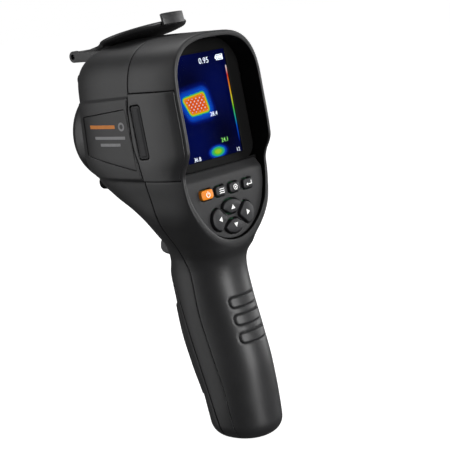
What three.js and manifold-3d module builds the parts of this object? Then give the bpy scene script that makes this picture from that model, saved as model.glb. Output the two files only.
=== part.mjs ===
// A handheld thermal imaging camera: a pistol grip, a hooded screen with a keypad behind the head,
// a round lens bezel at the front and a hinged lens cover, which is modelled open, lying back on the head.
// Millimetres. +Z is up, +Y is where the lens looks, +X is the user's right hand side.
// The origin is in the middle of the flat underside of the grip.
import * as THREE from "three";
import { mergeVertices } from "three/addons/utils/BufferGeometryUtils.js";
import Module from "manifold-3d";

const wasm = await Module();
wasm.setup();

const DEGREE = Math.PI / 180;
const GAP = 0.3; // between pieces that are fitted to each other

// The housing is a loft of level sections. Each list gives [height, value] stations.
const TOP = 226.6;
const FRONT_REACH = [[0, 22.5], [21, 25.5], [41, 32.1], [61, 37.1], [81, 39.1], [94, 40.4], [103, 38],
  [111, 37.8], [119, 41.6], [126, 45.8], [133, 53.6], [141, 66.6], [150, 75.6], [159, 77], [TOP, 77]];
const REAR_REACH = [[0, -18], [21, -16.9], [41, -15.4], [61, -11.5], [81, -6.6], [96, -4.4], [103, -4.9],
  [109.7, -7.9], [126, -7.6], [141, -5.9], [152, -5.5], [157, -7], [162, -10.1], [166, -11.4],
  [199, -9.2], [TOP, -7.7]];
const HALF_WIDTH = [[0, 18.6], [20, 19.4], [96, 19.5], [103, 20.2], [109.7, 22.4], [119, 27.2], [126, 30.8],
  [133, 33.3], [141, 35], [151, 37], [163, 38], [TOP, 38]];
const WIDEST_AT = [[0, 3.7], [20, 4.4], [41, 8.3], [61, 12.8], [81, 15.7], [96, 17], [109.7, 16.3],
  [126, 18], [141, 20], [151, 21], [163, 23], [TOP, 23]];
const FRONT_SQUARENESS = [[0, 2.2], [103, 2.2], [126, 2.4], [141, 2.8], [151, 3.2], [166, 4.6], [TOP, 4.6]];
const REAR_SQUARENESS = [[0, 2.2], [99, 2.2], [112, 3.3], [126, 3.8], [141, 3], [166, 2.4], [TOP, 2.4]];
const PARTING_LINE = [[-5, -6], [6, -4.2], [30, -0.6], [51, 5.2], [75, 11], [98, 13.5], [103, 15.1],
  [113, 17], [127, 19.5], [138, 19.7], [150, 20.3], [161, 21.5], [173, 24.4], [188, 24.5], [199, 23.3],
  [211, 22.9], [TOP + 5, 22.8]];
const BASE_EDGE_RADIUS = 9;
const WALL = 3;

// The rim round the screen and the keypad: straight sides, a rounded arch above and half an ellipse below.
const RIM_HALF_WIDTH = 33.4;
const RIM_U_CENTRE = 149;
const RIM_U_HEIGHT = 39.3;
const LIP = 3.5; // the rim below the keys
const ARCH_START = 193;
const ARCH_SQUARENESS = 3;
const FRONT_EDGE_START = 201;
const FRONT_EDGE_SQUARENESS = 2.9;

// The screen and the keys share one plane, which leans forward at the top.
const FACE_ORIGIN = new THREE.Vector3(0, -6, 141);
const FACE_LEAN = 5 * DEGREE;
const FACE = new THREE.Matrix4().makeRotationX(Math.PI / 2 - FACE_LEAN).setPosition(FACE_ORIGIN);
const SCREEN = { width: 43.2, height: 57.6, centre: 46.4, depth: -5.3 };
const KEY_TRAVEL_GAP = 0.4;
const ISLAND = { halfWidth: 29.2, centre: 8, height: 34.8, top: 12.6, back: -4, front: -1.7 };

// The lens looks out along +Y through a round bezel.
const LENS_HEIGHT = 173.4;
const BEZEL_RADIUS = 28.6;
const BEZEL_FRONT = 84.7;
const VIEWING_CAMERA_DROP = 17.5;
const LATCH = { drop: 23.6, start: 83.2 }; // a flat under the bezel, which the closed lens cover's tab hooks

// The lens cover turns on a pin between two ears.
const PIN = { y: 90.5, z: 219.4, radius: 1.5, halfLength: 13.6 };
const EAR = { radius: 3.3, inside: 11.3, outside: 15.3 };
const COVER = { arm: 46, radius: 25.5, thickness: 2.8, dome: 0.7, openAngle: 11.5 * DEGREE };

// The battery cover is the front of the grip. Its side seams are straight, because it slides off along them.
const SEAM_SLOPE = 0.28;
const SEAM_AT_BASE = 4;
const BATTERY_COVER_TOP = 88;
const COVER_CORNER = 7; // how far below its top the cover's side seams start to round off
const SLIDE_LEAN = Math.atan(SEAM_SLOPE);

const BAND = { bottom: 151.8, top: 199.3, proud: 0.9, depth: 1.3, inside: 30.8 };
const LABEL = [[63.4, 165.6], [63, 187.6], [26, 191.6], [22.7, 157.5]];
const CHEEK = [[10, 151], [62, 151.5], [69.5, 158], [70.5, 166], [69, 196.5], [10, 199.3]];

const black = { color: 0x1c1c1d, roughness: 0.55, metalness: 0 };
const MATERIALS = {
  housing: { color: 0x2b2c2d, roughness: 0.6, metalness: 0 },
  bezel: { color: 0x151516, roughness: 0.4, metalness: 0 },
  trim: black,
  key: { color: 0x202123, roughness: 0.5, metalness: 0 },
  powerKey: { color: 0xff8a12, roughness: 0.45, metalness: 0 },
  screen: { color: 0x0b1a8a, roughness: 0.2, metalness: 0 },
  window: { color: 0x101214, roughness: 0.05, metalness: 0 },
  germanium: { color: 0x54504a, roughness: 0.1, metalness: 0.8 },
  aluminium: { color: 0xb8babd, roughness: 0.35, metalness: 1 },
  steel: { color: 0xc8c8c8, roughness: 0.3, metalness: 1 },
  board: { color: 0x14532d, roughness: 0.5, metalness: 0 },
  cell: { color: 0x2a6fb5, roughness: 0.4, metalness: 0 },
  rubber: { color: 0x1a1a1a, roughness: 0.9, metalness: 0 },
};

// ---- solids ------------------------------------------------------------------------------------

function solid(geometry) {
  const plain = geometry.clone();
  plain.deleteAttribute("normal");
  plain.deleteAttribute("uv");
  const merged = mergeVertices(plain, 1e-4);
  const index = merged.index.array;
  const triangles = [];
  for (let i = 0; i < index.length; i += 3) {
    const corners = [index[i], index[i + 1], index[i + 2]];
    if (new Set(corners).size === 3) triangles.push(...corners);
  }
  return new wasm.Manifold(new wasm.Mesh({
    numProp: 3,
    vertProperties: new Float32Array(merged.attributes.position.array),
    triVerts: new Uint32Array(triangles),
  }));
}

function geometryOf(body) {
  const mesh = body.getMesh();
  const geometry = new THREE.BufferGeometry();
  geometry.setAttribute("position", new THREE.BufferAttribute(mesh.vertProperties, 3));
  geometry.setIndex(new THREE.BufferAttribute(mesh.triVerts, 1));
  geometry.computeVertexNormals();
  return geometry;
}

function joined(bodies) {
  return bodies.reduce((whole, body) => whole.add(body));
}

function cut(body, ...tools) {
  return tools.reduce((left, tool) => left.subtract(tool), body);
}

function boxBetween(low, high) {
  const size = high.map((value, axis) => value - low[axis]);
  const geometry = new THREE.BoxGeometry(...size);
  geometry.translate(...low.map((value, axis) => value + size[axis] / 2));
  return solid(geometry);
}

// A prism across the object, from an outline of [y, z] points.
function prismAcross(points, low = -60, high = 60) {
  const outline = new THREE.Shape(points.map(([y, z]) => new THREE.Vector2(y, z)));
  const geometry = new THREE.ExtrudeGeometry(outline, { depth: high - low, bevelEnabled: false });
  const across = new THREE.Matrix4().makeBasis(
    new THREE.Vector3(0, 1, 0),
    new THREE.Vector3(0, 0, 1),
    new THREE.Vector3(1, 0, 0),
  );
  geometry.applyMatrix4(across.setPosition(low, 0, 0));
  return solid(geometry);
}

// A plate with its outline in x and y, from z = low to z = high.
function plate(outline, low, high) {
  const geometry = new THREE.ExtrudeGeometry(outline, {
    depth: high - low,
    bevelEnabled: false,
    curveSegments: 3,
  });
  geometry.translate(0, 0, low);
  return geometry;
}

function roundedRectangle(width, height, radius, x = 0, y = 0) {
  const shape = new THREE.Shape();
  const right = width / 2 - radius;
  const up = height / 2 - radius;
  shape.absarc(x + right, y + up, radius, 0, Math.PI / 2);
  shape.absarc(x - right, y + up, radius, Math.PI / 2, Math.PI);
  shape.absarc(x - right, y - up, radius, Math.PI, 1.5 * Math.PI);
  shape.absarc(x + right, y - up, radius, 1.5 * Math.PI, 2 * Math.PI);
  return shape;
}

// A solid turned about the +Y axis. Its profile of [radius, y] points starts and ends on the axis,
// or goes once round a ring's section.
function turnedAlongY(profile, segments = 32) {
  const onAxis = profile[0][0] === 0;
  const outline = onAxis ? profile : [...profile, profile[0]];
  const points = outline.map(([radius, y]) => new THREE.Vector2(radius, y));
  return solid(new THREE.LatheGeometry(points, segments));
}

function cylinderAlongY(radius, low, high, x, z, segments = 24) {
  const geometry = new THREE.CylinderGeometry(radius, radius, high - low, segments);
  geometry.translate(x, (low + high) / 2, z);
  return solid(geometry);
}

function cylinderAcross(radius, low, high, y, z, segments = 24) {
  const geometry = new THREE.CylinderGeometry(radius, radius, high - low, segments);
  geometry.rotateZ(Math.PI / 2);
  geometry.translate((low + high) / 2, y, z);
  return solid(geometry);
}

// ---- the housing surface -----------------------------------------------------------------------

// The value at z on a smooth curve through the stations, which never overshoots them.
function along(stations, z) {
  const last = stations.length - 1;
  if (z <= stations[0][0]) return stations[0][1];
  if (z >= stations[last][0]) return stations[last][1];
  const right = stations.findIndex(([height]) => height > z);
  const slope = (i) => {
    if (i <= 0 || i >= last) return 0;
    const before = (stations[i][1] - stations[i - 1][1]) / (stations[i][0] - stations[i - 1][0]);
    const after = (stations[i + 1][1] - stations[i][1]) / (stations[i + 1][0] - stations[i][0]);
    return before * after <= 0 ? 0 : (2 * before * after) / (before + after);
  };
  const [z0, v0] = stations[right - 1];
  const [z1, v1] = stations[right];
  const span = z1 - z0;
  const t = (z - z0) / span;
  const start = (1 + 2 * t) * (1 - t) ** 2 * v0 + t * (1 - t) ** 2 * span * slope(right - 1);
  return start + t * t * (3 - 2 * t) * v1 + t * t * (t - 1) * span * slope(right);
}

function rounding(z, start, end, power) {
  if (z <= start) return 1;
  return Math.max(0, 1 - ((z - start) / (end - start)) ** power) ** (1 / power);
}

function rimHalfWidth(z) {
  if (z >= RIM_U_CENTRE) return RIM_HALF_WIDTH;
  const drop = (RIM_U_CENTRE - z) / RIM_U_HEIGHT;
  return drop >= 1 ? 0 : RIM_HALF_WIDTH * Math.sqrt(1 - drop * drop);
}

// Everything that one level section of the housing needs, moved inwards by inset.
function sectionAt(z, inset) {
  const baseEdge = Math.max(0, BASE_EDGE_RADIUS - Math.max(z - Math.max(inset, 0), 0));
  const tuck = BASE_EDGE_RADIUS - Math.sqrt(BASE_EDGE_RADIUS ** 2 - baseEdge ** 2);
  const arch = rounding(z, ARCH_START, TOP - inset, ARCH_SQUARENESS);
  const frontEdge = rounding(z, FRONT_EDGE_START, TOP - inset, FRONT_EDGE_SQUARENESS);
  const widest = along(WIDEST_AT, z);
  const front = along(FRONT_REACH, z) - inset - tuck;
  return {
    widest,
    front: widest + (front - widest) * frontEdge,
    rear: along(REAR_REACH, z) + inset + tuck,
    half: (along(HALF_WIDTH, z) - inset - tuck) * arch,
    rim: Math.max(0, rimHalfWidth(z) - inset) * arch,
    squareness: along(FRONT_SQUARENESS, z),
    rearSquareness: along(REAR_SQUARENESS, z),
  };
}

const REAR_STEPS = 5;
const FRONT_STEPS = 8;

// The right half of a section, from the rear to the front, as [x, y] points.
function halfSection(z, inset) {
  const s = sectionAt(z, inset);
  const truncated = 1 - Math.min(0.97, s.rim / s.half) ** s.rearSquareness;
  const rearEnd = Math.asin(Math.sqrt(truncated));
  const points = [];
  for (let i = REAR_STEPS; i > 0; i -= 1) {
    const turn = (rearEnd * i) / REAR_STEPS;
    const back = (Math.sin(turn) ** 2 / truncated) ** (1 / s.rearSquareness);
    const x = s.half * Math.cos(turn) ** (2 / s.rearSquareness);
    points.push([x, s.widest - (s.widest - s.rear) * back]);
  }
  for (let i = 0; i <= FRONT_STEPS; i += 1) {
    const turn = (Math.PI / 2) * (i / FRONT_STEPS);
    const x = s.half * Math.cos(turn) ** (2 / s.squareness);
    points.push([x, s.widest + (s.front - s.widest) * Math.sin(turn) ** (2 / s.squareness)]);
  }
  return points;
}

const LEVELS = [0, 1, 3.4, 9, 18, 35, 55, 75, 88, 96, 101, 105, 109.7, 111, 114.5, 119.5, 126, 133, 141, 149,
  155, 159, 163, 167, 180, 193, 203, 211, 217, 221, 224, 226];

// The housing's outside, moved inwards by inset. A negative inset makes it bigger.
function housing(inset) {
  const bottom = Math.max(inset, 0);
  const crown = TOP - Math.max(inset, 0);
  const levels = LEVELS.map((level) => bottom + (level / TOP) * (crown - bottom));
  const rings = levels.map((z) => {
    const half = halfSection(z, inset);
    const right = half.map(([x, y]) => [Math.max(x, 0), y, z]);
    const left = half.slice(0, -1).reverse().map(([x, y]) => [-Math.max(x, 0.01), y, z]);
    return [...right, ...left];
  });
  return loft(rings);
}

// A closed solid through rings of points with one count, with flat ends.
function loft(rings) {
  const count = rings[0].length;
  const positions = rings.flat(2);
  const index = [];
  for (let level = 0; level + 1 < rings.length; level += 1) {
    for (let i = 0; i < count; i += 1) {
      const a = level * count + i;
      const b = level * count + ((i + 1) % count);
      index.push(a, b, b + count, a, b + count, a + count);
    }
  }
  const last = (rings.length - 1) * count;
  for (const [start, up] of [[0, false], [last, true]]) {
    const middle = positions.length / 3;
    const ring = rings[start / count];
    positions.push(0, ring.reduce((sum, point) => sum + point[1], 0) / count, ring[0][2]);
    for (let i = 0; i < count; i += 1) {
      const a = start + i;
      const b = start + ((i + 1) % count);
      index.push(...(up ? [a, b, middle] : [b, a, middle]));
    }
  }
  const geometry = new THREE.BufferGeometry();
  geometry.setAttribute("position", new THREE.Float32BufferAttribute(positions, 3));
  geometry.setIndex(index);
  return solid(geometry);
}

// The space in front of the parting line, moved forward by shift.
function aheadOfParting(shift) {
  const line = [];
  for (let z = -5; z < TOP + 5; z += 8) line.push([along(PARTING_LINE, z) + shift, z]);
  return prismAcross([...line, [200, TOP + 3], [200, -5]].reverse());
}

function seam(z) {
  return SEAM_AT_BASE + SEAM_SLOPE * z;
}

// The space that the battery cover takes up, grown by grow on its seams.
function batteryCoverSpace(grow) {
  const top = BATTERY_COVER_TOP + grow;
  const turn = top - COVER_CORNER;
  const corner = [[seam(turn) - grow, turn], [seam(top) + 0.2 - grow, top - 3], [seam(top) + 2.5, top]];
  return prismAcross([[seam(-5) - grow, -5], ...corner, [60, top], [60, -5]].reverse());
}

// The opening at the back of the housing, in the rim, extruded from y = low to y = high.
function rimOpening(inset, low, high) {
  const half = RIM_HALF_WIDTH - inset;
  const crown = TOP - inset;
  const right = [];
  for (let turn = -90; turn < 0; turn += 15) {
    const angle = turn * DEGREE;
    right.push([half * Math.cos(angle), RIM_U_CENTRE + (RIM_U_HEIGHT - LIP) * Math.sin(angle)]);
  }
  for (let step = 0; step <= 8; step += 1) {
    const turn = (Math.PI / 2) * (step / 8);
    const power = 2 / ARCH_SQUARENESS;
    const x = half * Math.cos(turn) ** power;
    right.push([x, ARCH_START + (crown - ARCH_START) * Math.sin(turn) ** power]);
  }
  const left = right.slice(1, -1).reverse().map(([x, z]) => [-x, z]);
  const shape = new THREE.Shape([...right, ...left].map(([x, z]) => new THREE.Vector2(x, z)));
  const geometry = new THREE.ExtrudeGeometry(shape, { depth: high - low, bevelEnabled: false });
  geometry.rotateX(Math.PI / 2);
  geometry.translate(0, high, 0);
  return solid(geometry);
}

const outside = housing(0);
const cavity = housing(WALL);

// ---- housing pieces ----------------------------------------------------------------------------

const SCREWS = [
  { name: "top_left", x: -25, z: 207 },
  { name: "top_right", x: 25, z: 207 },
  { name: "bottom_left", x: -24, z: 148.5 },
  { name: "bottom_right", x: 24, z: 148.5 },
];
const SCREW = { seat: 33, headRadius: 2.6, headHeight: 2, shankRadius: 1.25, tip: 12, bossRadius: 4.2 };

function frontScrewBoss({ x, z }) {
  const parting = along(PARTING_LINE, z) + GAP;
  return cylinderAlongY(SCREW.bossRadius, parting, 76, x, z, 16).intersect(outside);
}

function frontScrewHole({ x, z }) {
  const wide = cylinderAlongY(SCREW.headRadius + 0.4, SCREW.seat, 90, x, z, 16);
  return wide.add(cylinderAlongY(SCREW.shankRadius + 0.25, 10, SCREW.seat + 1, x, z, 12));
}

function rearScrewBoss({ x, z }) {
  const parting = along(PARTING_LINE, z) - GAP;
  const low = SCREW.tip - 2;
  const post = cylinderAlongY(SCREW.bossRadius - 1, low, parting, x, z, 16);
  const ribEnds = x < 0 ? [-40, x] : [x, 40];
  const rib = boxBetween([ribEnds[0], low, z - 0.8], [ribEnds[1], parting - 2, z + 0.8]);
  const body = post.add(rib.intersect(housing(WALL / 2)));
  return cut(body, cylinderAlongY(SCREW.shankRadius + 0.15, SCREW.tip - 1, 40, x, z, 12));
}

function screw({ x, z }) {
  const head = cylinderAlongY(SCREW.headRadius, SCREW.seat + 0.1, SCREW.seat + SCREW.headHeight, x, z, 16);
  const shank = cylinderAlongY(SCREW.shankRadius, SCREW.tip, SCREW.seat + 0.6, x, z, 12);
  const socket = cylinderAlongY(1.3, SCREW.seat + 0.9, SCREW.seat + 3, x, z, 6);
  return cut(head.add(shank), socket);
}

// The two ears that hold the lens cover's pin.
function ears() {
  return [-1, 1].map((side) => {
    const low = side < 0 ? -EAR.outside : EAR.inside;
    const high = side < 0 ? -EAR.inside : EAR.outside;
    const arm = boxBetween([low, 68, PIN.z - EAR.radius], [high, PIN.y, PIN.z + EAR.radius - 1]);
    const lug = cut(arm, cavity).add(cylinderAcross(EAR.radius, low, high, PIN.y, PIN.z));
    return cut(lug, cylinderAcross(PIN.radius + 0.07, low - 1, high + 1, PIN.y, PIN.z));
  });
}

// The raised frames round the label recesses, on both cheeks of the head.
function cheekFrames() {
  const proud = housing(-1.5);
  const frames = prismAcross(CHEEK, 20, 60).add(prismAcross(CHEEK, -60, -20));
  return cut(proud.intersect(frames), cavity);
}

function labelSpace(depth, proud, shrink) {
  const middle = [44, 173];
  const outline = LABEL.map(([y, z]) => [
    y - Math.sign(y - middle[0]) * shrink,
    z - Math.sign(z - middle[1]) * shrink,
  ]);
  return cut(prismAcross(outline.reverse()).intersect(housing(-proud)), housing(-depth));
}

const PORT = { y: 17.6, z: 178.6, width: 7, height: 29, lean: 5 * DEGREE };

// The slot over the sockets, through the left wall, grown by grow.
function portSlot(grow) {
  const shape = roundedRectangle(PORT.width + 2 * grow, PORT.height + 2 * grow, 1);
  const geometry = plate(shape, -6, 6);
  geometry.rotateZ(PORT.lean);
  geometry.rotateX(Math.PI / 2);
  geometry.rotateZ(-Math.PI / 2);
  geometry.translate(-38, PORT.y, PORT.z);
  return solid(geometry);
}

const TRIGGER = { halfWidth: 7, pivotY: 36, pivotZ: 121.5 };

function frontShell() {
  let body = cut(outside.add(cheekFrames()), cavity);
  body = joined([body, ...ears()]).intersect(aheadOfParting(GAP / 2));
  body = cut(body, batteryCoverSpace(GAP), labelSpace(0.3, 5, 0));
  body = cut(body, cylinderAlongY(BEZEL_RADIUS + GAP, 60, 100, 0, LENS_HEIGHT, 40));
  body = cut(body, boxBetween([-TRIGGER.halfWidth - 0.5, 30, 101.6], [TRIGGER.halfWidth + 0.5, 60, 122.5]));
  body = joined([body, ...SCREWS.map(frontScrewBoss)]);
  return cut(body, ...SCREWS.map(frontScrewHole));
}

function sideBand(grow) {
  const low = BAND.bottom - grow;
  const high = BAND.top + grow;
  const slabs = boxBetween([BAND.inside - grow, -40, low], [60, 60, high])
    .add(boxBetween([-60, -40, low], [-BAND.inside + grow, 60, high]));
  return cut(slabs, aheadOfParting(-GAP / 2 - 0.5 + grow));
}

function rearShell() {
  const skin = cut(outside, cavity, aheadOfParting(-GAP / 2), rimOpening(WALL, -40, 4));
  const recess = cut(sideBand(GAP), housing(BAND.depth + GAP));
  return joined([cut(skin, recess, portSlot(-0.8)), ...SCREWS.map(rearScrewBoss)]);
}

function sideCover(side) {
  const [low, high] = side < 0 ? [-60, 0] : [0, 60];
  const half = boxBetween([low, -60, 100], [high, 60, 240]);
  const body = cut(housing(-BAND.proud), housing(BAND.depth)).intersect(sideBand(0)).intersect(half);
  return side < 0 ? cut(body, portSlot(GAP)) : body;
}

function portCover() {
  const skin = cut(housing(-BAND.proud + 0.4), housing(BAND.depth)).intersect(portSlot(0));
  return skin.intersect(boxBetween([-60, -60, 100], [0, 60, 240]));
}

function batteryCover() {
  const shell = cut(outside, cavity).intersect(batteryCoverSpace(0));
  const panelSide = prismAcross([[60, 22], [60, 77], [10, 77], [10, 22]], -12.5, 12.5);
  const panel = cut(housing(-1.2), cavity).intersect(panelSide).intersect(batteryCoverSpace(0));
  const notch = prismAcross([[20, 13], [60, 13], [60, 20], [20, 20]], -10, 10);
  const dent = cut(notch, housing(1.2));
  return cut(shell.add(panel), dent);
}

// ---- screen and keys, in the plane of the face: x is right, y is up the face, z is out of it ---

function islandOutline(shrink, top = ISLAND.top) {
  const shape = new THREE.Shape();
  const half = ISLAND.halfWidth - shrink;
  shape.moveTo(half, top);
  shape.lineTo(-half, top);
  shape.lineTo(-half, ISLAND.centre);
  shape.absellipse(0, ISLAND.centre, half, ISLAND.height - shrink, Math.PI, 2 * Math.PI);
  shape.lineTo(half, top);
  return shape;
}

const KEY_ROW = [
  { name: "power_button", x: -16.9, width: 9, material: "powerKey" },
  { name: "menu_button", x: -6.1, width: 7.8, material: "key" },
  { name: "select_button", x: 4.8, width: 7.8, material: "key" },
  { name: "enter_button", x: 16, width: 7.8, material: "key" },
];
const KEY_ROW_HEIGHT = 5.2;
// The direction keys are petals round the middle of the pad. Each one starts at base from the middle,
// is widest at shoulder and ends at tip.
const PAD_CENTRE = -15.1;
const UPRIGHT_PETAL = { base: 1.6, baseHalf: 2.2, shoulder: 5, shoulderHalf: 7.2, tip: 9.4 };
const LEVEL_PETAL = { base: 5.2, baseHalf: 0.9, shoulder: 10.6, shoulderHalf: 6.2, tip: 16.6 };

function rowKeyOutline(key, grow) {
  return roundedRectangle(key.width + 2 * grow, KEY_ROW_HEIGHT + 2 * grow, 1.6 + grow, key.x, 0);
}

function padKeyOutline(direction, grow) {
  const petal = direction === "up" || direction === "down" ? UPRIGHT_PETAL : LEVEL_PETAL;
  const points = [[-petal.baseHalf - grow, petal.base - grow], [petal.baseHalf + grow, petal.base - grow]];
  for (let step = 0; step <= 8; step += 1) {
    const turn = (Math.PI * step) / 8;
    const rise = petal.tip - petal.shoulder + grow;
    points.push([(petal.shoulderHalf + grow) * Math.cos(turn), petal.shoulder + rise * Math.sin(turn)]);
  }
  const turned = { up: 0, left: 90, down: 180, right: 270 }[direction] * DEGREE;
  const origin = new THREE.Vector2(0, 0);
  return new THREE.Shape(points.map(([x, y]) => {
    const point = new THREE.Vector2(x, y).rotateAround(origin, turned);
    return point.add(new THREE.Vector2(0, PAD_CENTRE));
  }));
}

const PAD_KEYS = ["up", "left", "down", "right"];

function keyCap(outline) {
  return geometryOf(solid(plate(outline, -3.2, 0.2)));
}

function keypadPanel() {
  const body = solid(plate(islandOutline(0), ISLAND.back, ISLAND.front));
  const rowHoles = KEY_ROW.map((key) => solid(plate(rowKeyOutline(key, KEY_TRAVEL_GAP), -5, 5)));
  const padHoles = PAD_KEYS.map((key) => solid(plate(padKeyOutline(key, KEY_TRAVEL_GAP), -5, 5)));
  const ledge = solid(plate(roundedRectangle(55, 3, 0.5, 0, ISLAND.top - 1.5), -8, ISLAND.back + 0.5));
  return geometryOf(joined([cut(body, ...rowHoles, ...padHoles), ledge]));
}

// The black floor of the hood, which fills it from wall to wall round the screen's opening.
function displayBezel() {
  const bottom = ISLAND.top + GAP;
  const sheet = roundedRectangle(80, 80, 1, 0, bottom + 40);
  const opening = roundedRectangle(SCREEN.width + 3, SCREEN.height + 2.6, 1, 0, SCREEN.centre + 0.1);
  const body = cut(solid(plate(sheet, -8.8, -6)), solid(plate(opening, -12, 0)));
  return body.transform(FACE.elements).intersect(housing(WALL + GAP));
}

function displayWindow() {
  const pane = roundedRectangle(SCREEN.width + 2.4, SCREEN.height + 2.4, 0.8, 0, SCREEN.centre);
  return plate(pane, -6.6, SCREEN.depth);
}

function lcdPanel() {
  return plate(roundedRectangle(SCREEN.width + 2, SCREEN.height + 2, 0.6, 0, SCREEN.centre), -9.6, -6.9);
}

function boardWithParts(outline, low, high, chips) {
  const board = solid(plate(outline, low, high));
  const parts = chips.map(([x, y, width, height, thickness]) =>
    boxBetween([x - width / 2, y - height / 2, low - thickness], [x + width / 2, y + height / 2, low + 0.2]),
  );
  return geometryOf(joined([board, ...parts]));
}

// ---- optics ------------------------------------------------------------------------------------

function lensBezel() {
  const profile = [[11.6, 68], [BEZEL_RADIUS, 68], [BEZEL_RADIUS, BEZEL_FRONT - 1.6],
    [26.4, 87.4], [25, 88], [23.6, 87], [22.8, 82.5], [13, 79.6], [11.6, 79.6]];
  const ring = turnedAlongY(profile, 40).translate([0, 0, LENS_HEIGHT]);
  const latchFlat = boxBetween([-12, LATCH.start, LENS_HEIGHT - 40], [12, 100, LENS_HEIGHT - LATCH.drop]);
  return cut(ring, latchFlat, cylinderAlongY(4.3, 60, 100, 0, LENS_HEIGHT - VIEWING_CAMERA_DROP, 16));
}

function lensBarrel() {
  const profile = [[9.4, 59], [13.4, 59], [13.4, 66], [11.3, 66.4], [11.3, 78.6], [10.2, 79.2], [9.4, 78.6]];
  return turnedAlongY(profile).translate([0, 0, LENS_HEIGHT]);
}

function irLens() {
  const profile = [[0, 72], [9.1, 72], [9.1, 76.4], [6.6, 77.2], [3.4, 77.7], [0, 77.9]];
  return turnedAlongY(profile).translate([0, 0, LENS_HEIGHT]);
}

function irDetector() {
  const housingBox = boxBetween([-11, 46, LENS_HEIGHT - 11], [11, 55, LENS_HEIGHT + 11]);
  const board = boxBetween([-16, 43.6, LENS_HEIGHT - 15], [16, 46.2, LENS_HEIGHT + 15]);
  return cut(housingBox.add(board), cylinderAlongY(7.5, 49, 60, 0, LENS_HEIGHT, 24));
}

// The shutter swings in front of the detector for a moment to calibrate it. It is modelled swung aside.
const SHUTTER = { reach: 22, parkedAngle: 48, shaftRadius: 0.8, plane: 56.4 };

function shutterMotor() {
  const z = LENS_HEIGHT + SHUTTER.reach;
  const can = cylinderAlongY(4.2, 47, SHUTTER.plane - GAP, 0, z, 20);
  return can.add(cylinderAlongY(SHUTTER.shaftRadius, 50, SHUTTER.plane + 1.2, 0, z, 16));
}

function shutterFlag() {
  const y = SHUTTER.plane;
  const blade = joined([
    boxBetween([-1.6, y, -SHUTTER.reach], [1.6, y + 0.8, 0]),
    cylinderAlongY(7.6, y, y + 0.8, 0, -SHUTTER.reach, 24),
    cylinderAlongY(2.4, y, y + 0.8, 0, 0, 16),
  ]);
  const holed = cut(blade, cylinderAlongY(SHUTTER.shaftRadius + 0.08, 50, 60, 0, 0, 16));
  return holed.rotate([0, SHUTTER.parkedAngle, 0]).translate([0, 0, LENS_HEIGHT + SHUTTER.reach]);
}

function viewingCamera() {
  const z = LENS_HEIGHT - VIEWING_CAMERA_DROP;
  return boxBetween([-3.7, 58, z - 3.7], [3.7, 66, z + 3.7]).add(cylinderAlongY(3.4, 65.5, 78, 0, z, 20));
}

function viewingCameraWindow() {
  return cylinderAlongY(3.9, 78.6, 79.8, 0, LENS_HEIGHT - VIEWING_CAMERA_DROP, 20);
}

// The lens cover about its pin: the arm runs along -y and the lens side faces +z.
function lensCover() {
  const half = COVER.thickness / 2;
  const profile = [[0, -half - COVER.dome], [12, -half - COVER.dome + 0.2], [20, -half - 0.6],
    [24.4, -half + 0.3], [COVER.radius, 0], [COVER.radius, half - 0.5], [24.8, half], [0, half]];
  const disc = turnedAlongY(profile, 40).rotate([90, 0, 0]).translate([0, -COVER.arm, 0]);
  const strap = boxBetween([-10.8, -COVER.arm + 20, -half], [10.8, 0, half]);
  const knuckle = cylinderAcross(2.9, -10.8, 10.8, 0, 0);
  const wall = [[25, -half], [27.6, -half], [27.6, 5.2], [25, 5.2]];
  const ring = turnedAlongY(wall, 40).rotate([90, 0, 0]).translate([0, -COVER.arm, 0]);
  const tab = ring.intersect(boxBetween([-7.5, -90, -5], [7.5, -60, 10]));
  const whole = joined([disc, strap, knuckle, tab]);
  return geometryOf(cut(whole, cylinderAcross(PIN.radius + 0.07, -20, 20, 0, 0)));
}

// ---- inside the grip ---------------------------------------------------------------------------

function trigger() {
  const profile = [[43.8, 118.6], [45.2, 114], [47.7, 109.5], [48.1, 106.4], [46.6, 104.2], [43, 103.1],
    [33, 103.2], [31.6, 112], [32.6, 121], [35, 124], [38.6, 123.4], [41, 120.4]];
  const body = prismAcross(profile.reverse(), -TRIGGER.halfWidth, TRIGGER.halfWidth);
  return cut(body, cylinderAcross(PIN.radius + 0.07, -20, 20, TRIGGER.pivotY, TRIGGER.pivotZ));
}

function triggerSwitch() {
  const caseBox = boxBetween([-3.2, 19.5, 103], [3.2, 26, 116]);
  return caseBox.add(boxBetween([-1.2, 25.5, 105], [1.2, 28, 107]));
}

const CELL = { radius: 9.2, length: 65, y: 5.4, z: 44 };

function alongGrip(geometry) {
  geometry.rotateX(-SLIDE_LEAN);
  geometry.translate(0, CELL.y, CELL.z);
  return geometry;
}

function gripCylinder(radius, low, high, segments) {
  const geometry = new THREE.CylinderGeometry(radius, radius, high - low, segments);
  geometry.rotateX(Math.PI / 2);
  geometry.translate(0, 0, (low + high) / 2);
  return alongGrip(geometry);
}

function gripBox(low, high) {
  const size = high.map((value, axis) => value - low[axis]);
  const geometry = new THREE.BoxGeometry(...size);
  geometry.translate(...low.map((value, axis) => value + size[axis] / 2));
  return solid(alongGrip(geometry));
}

function batteryHolder() {
  const end = CELL.length / 2;
  const body = gripBox([-11.4, -3.4, -end - 4.8], [11.4, 6.5, end + 7]);
  return cut(body, gripBox([-9.7, -9, -end - 3.2], [9.7, 9, end + 5.2]));
}

function batteryCell() {
  const end = CELL.length / 2;
  const can = solid(gripCylinder(CELL.radius, -end, end - 1, 32));
  return can.add(solid(gripCylinder(3, end - 1.5, end, 16)));
}

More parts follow.
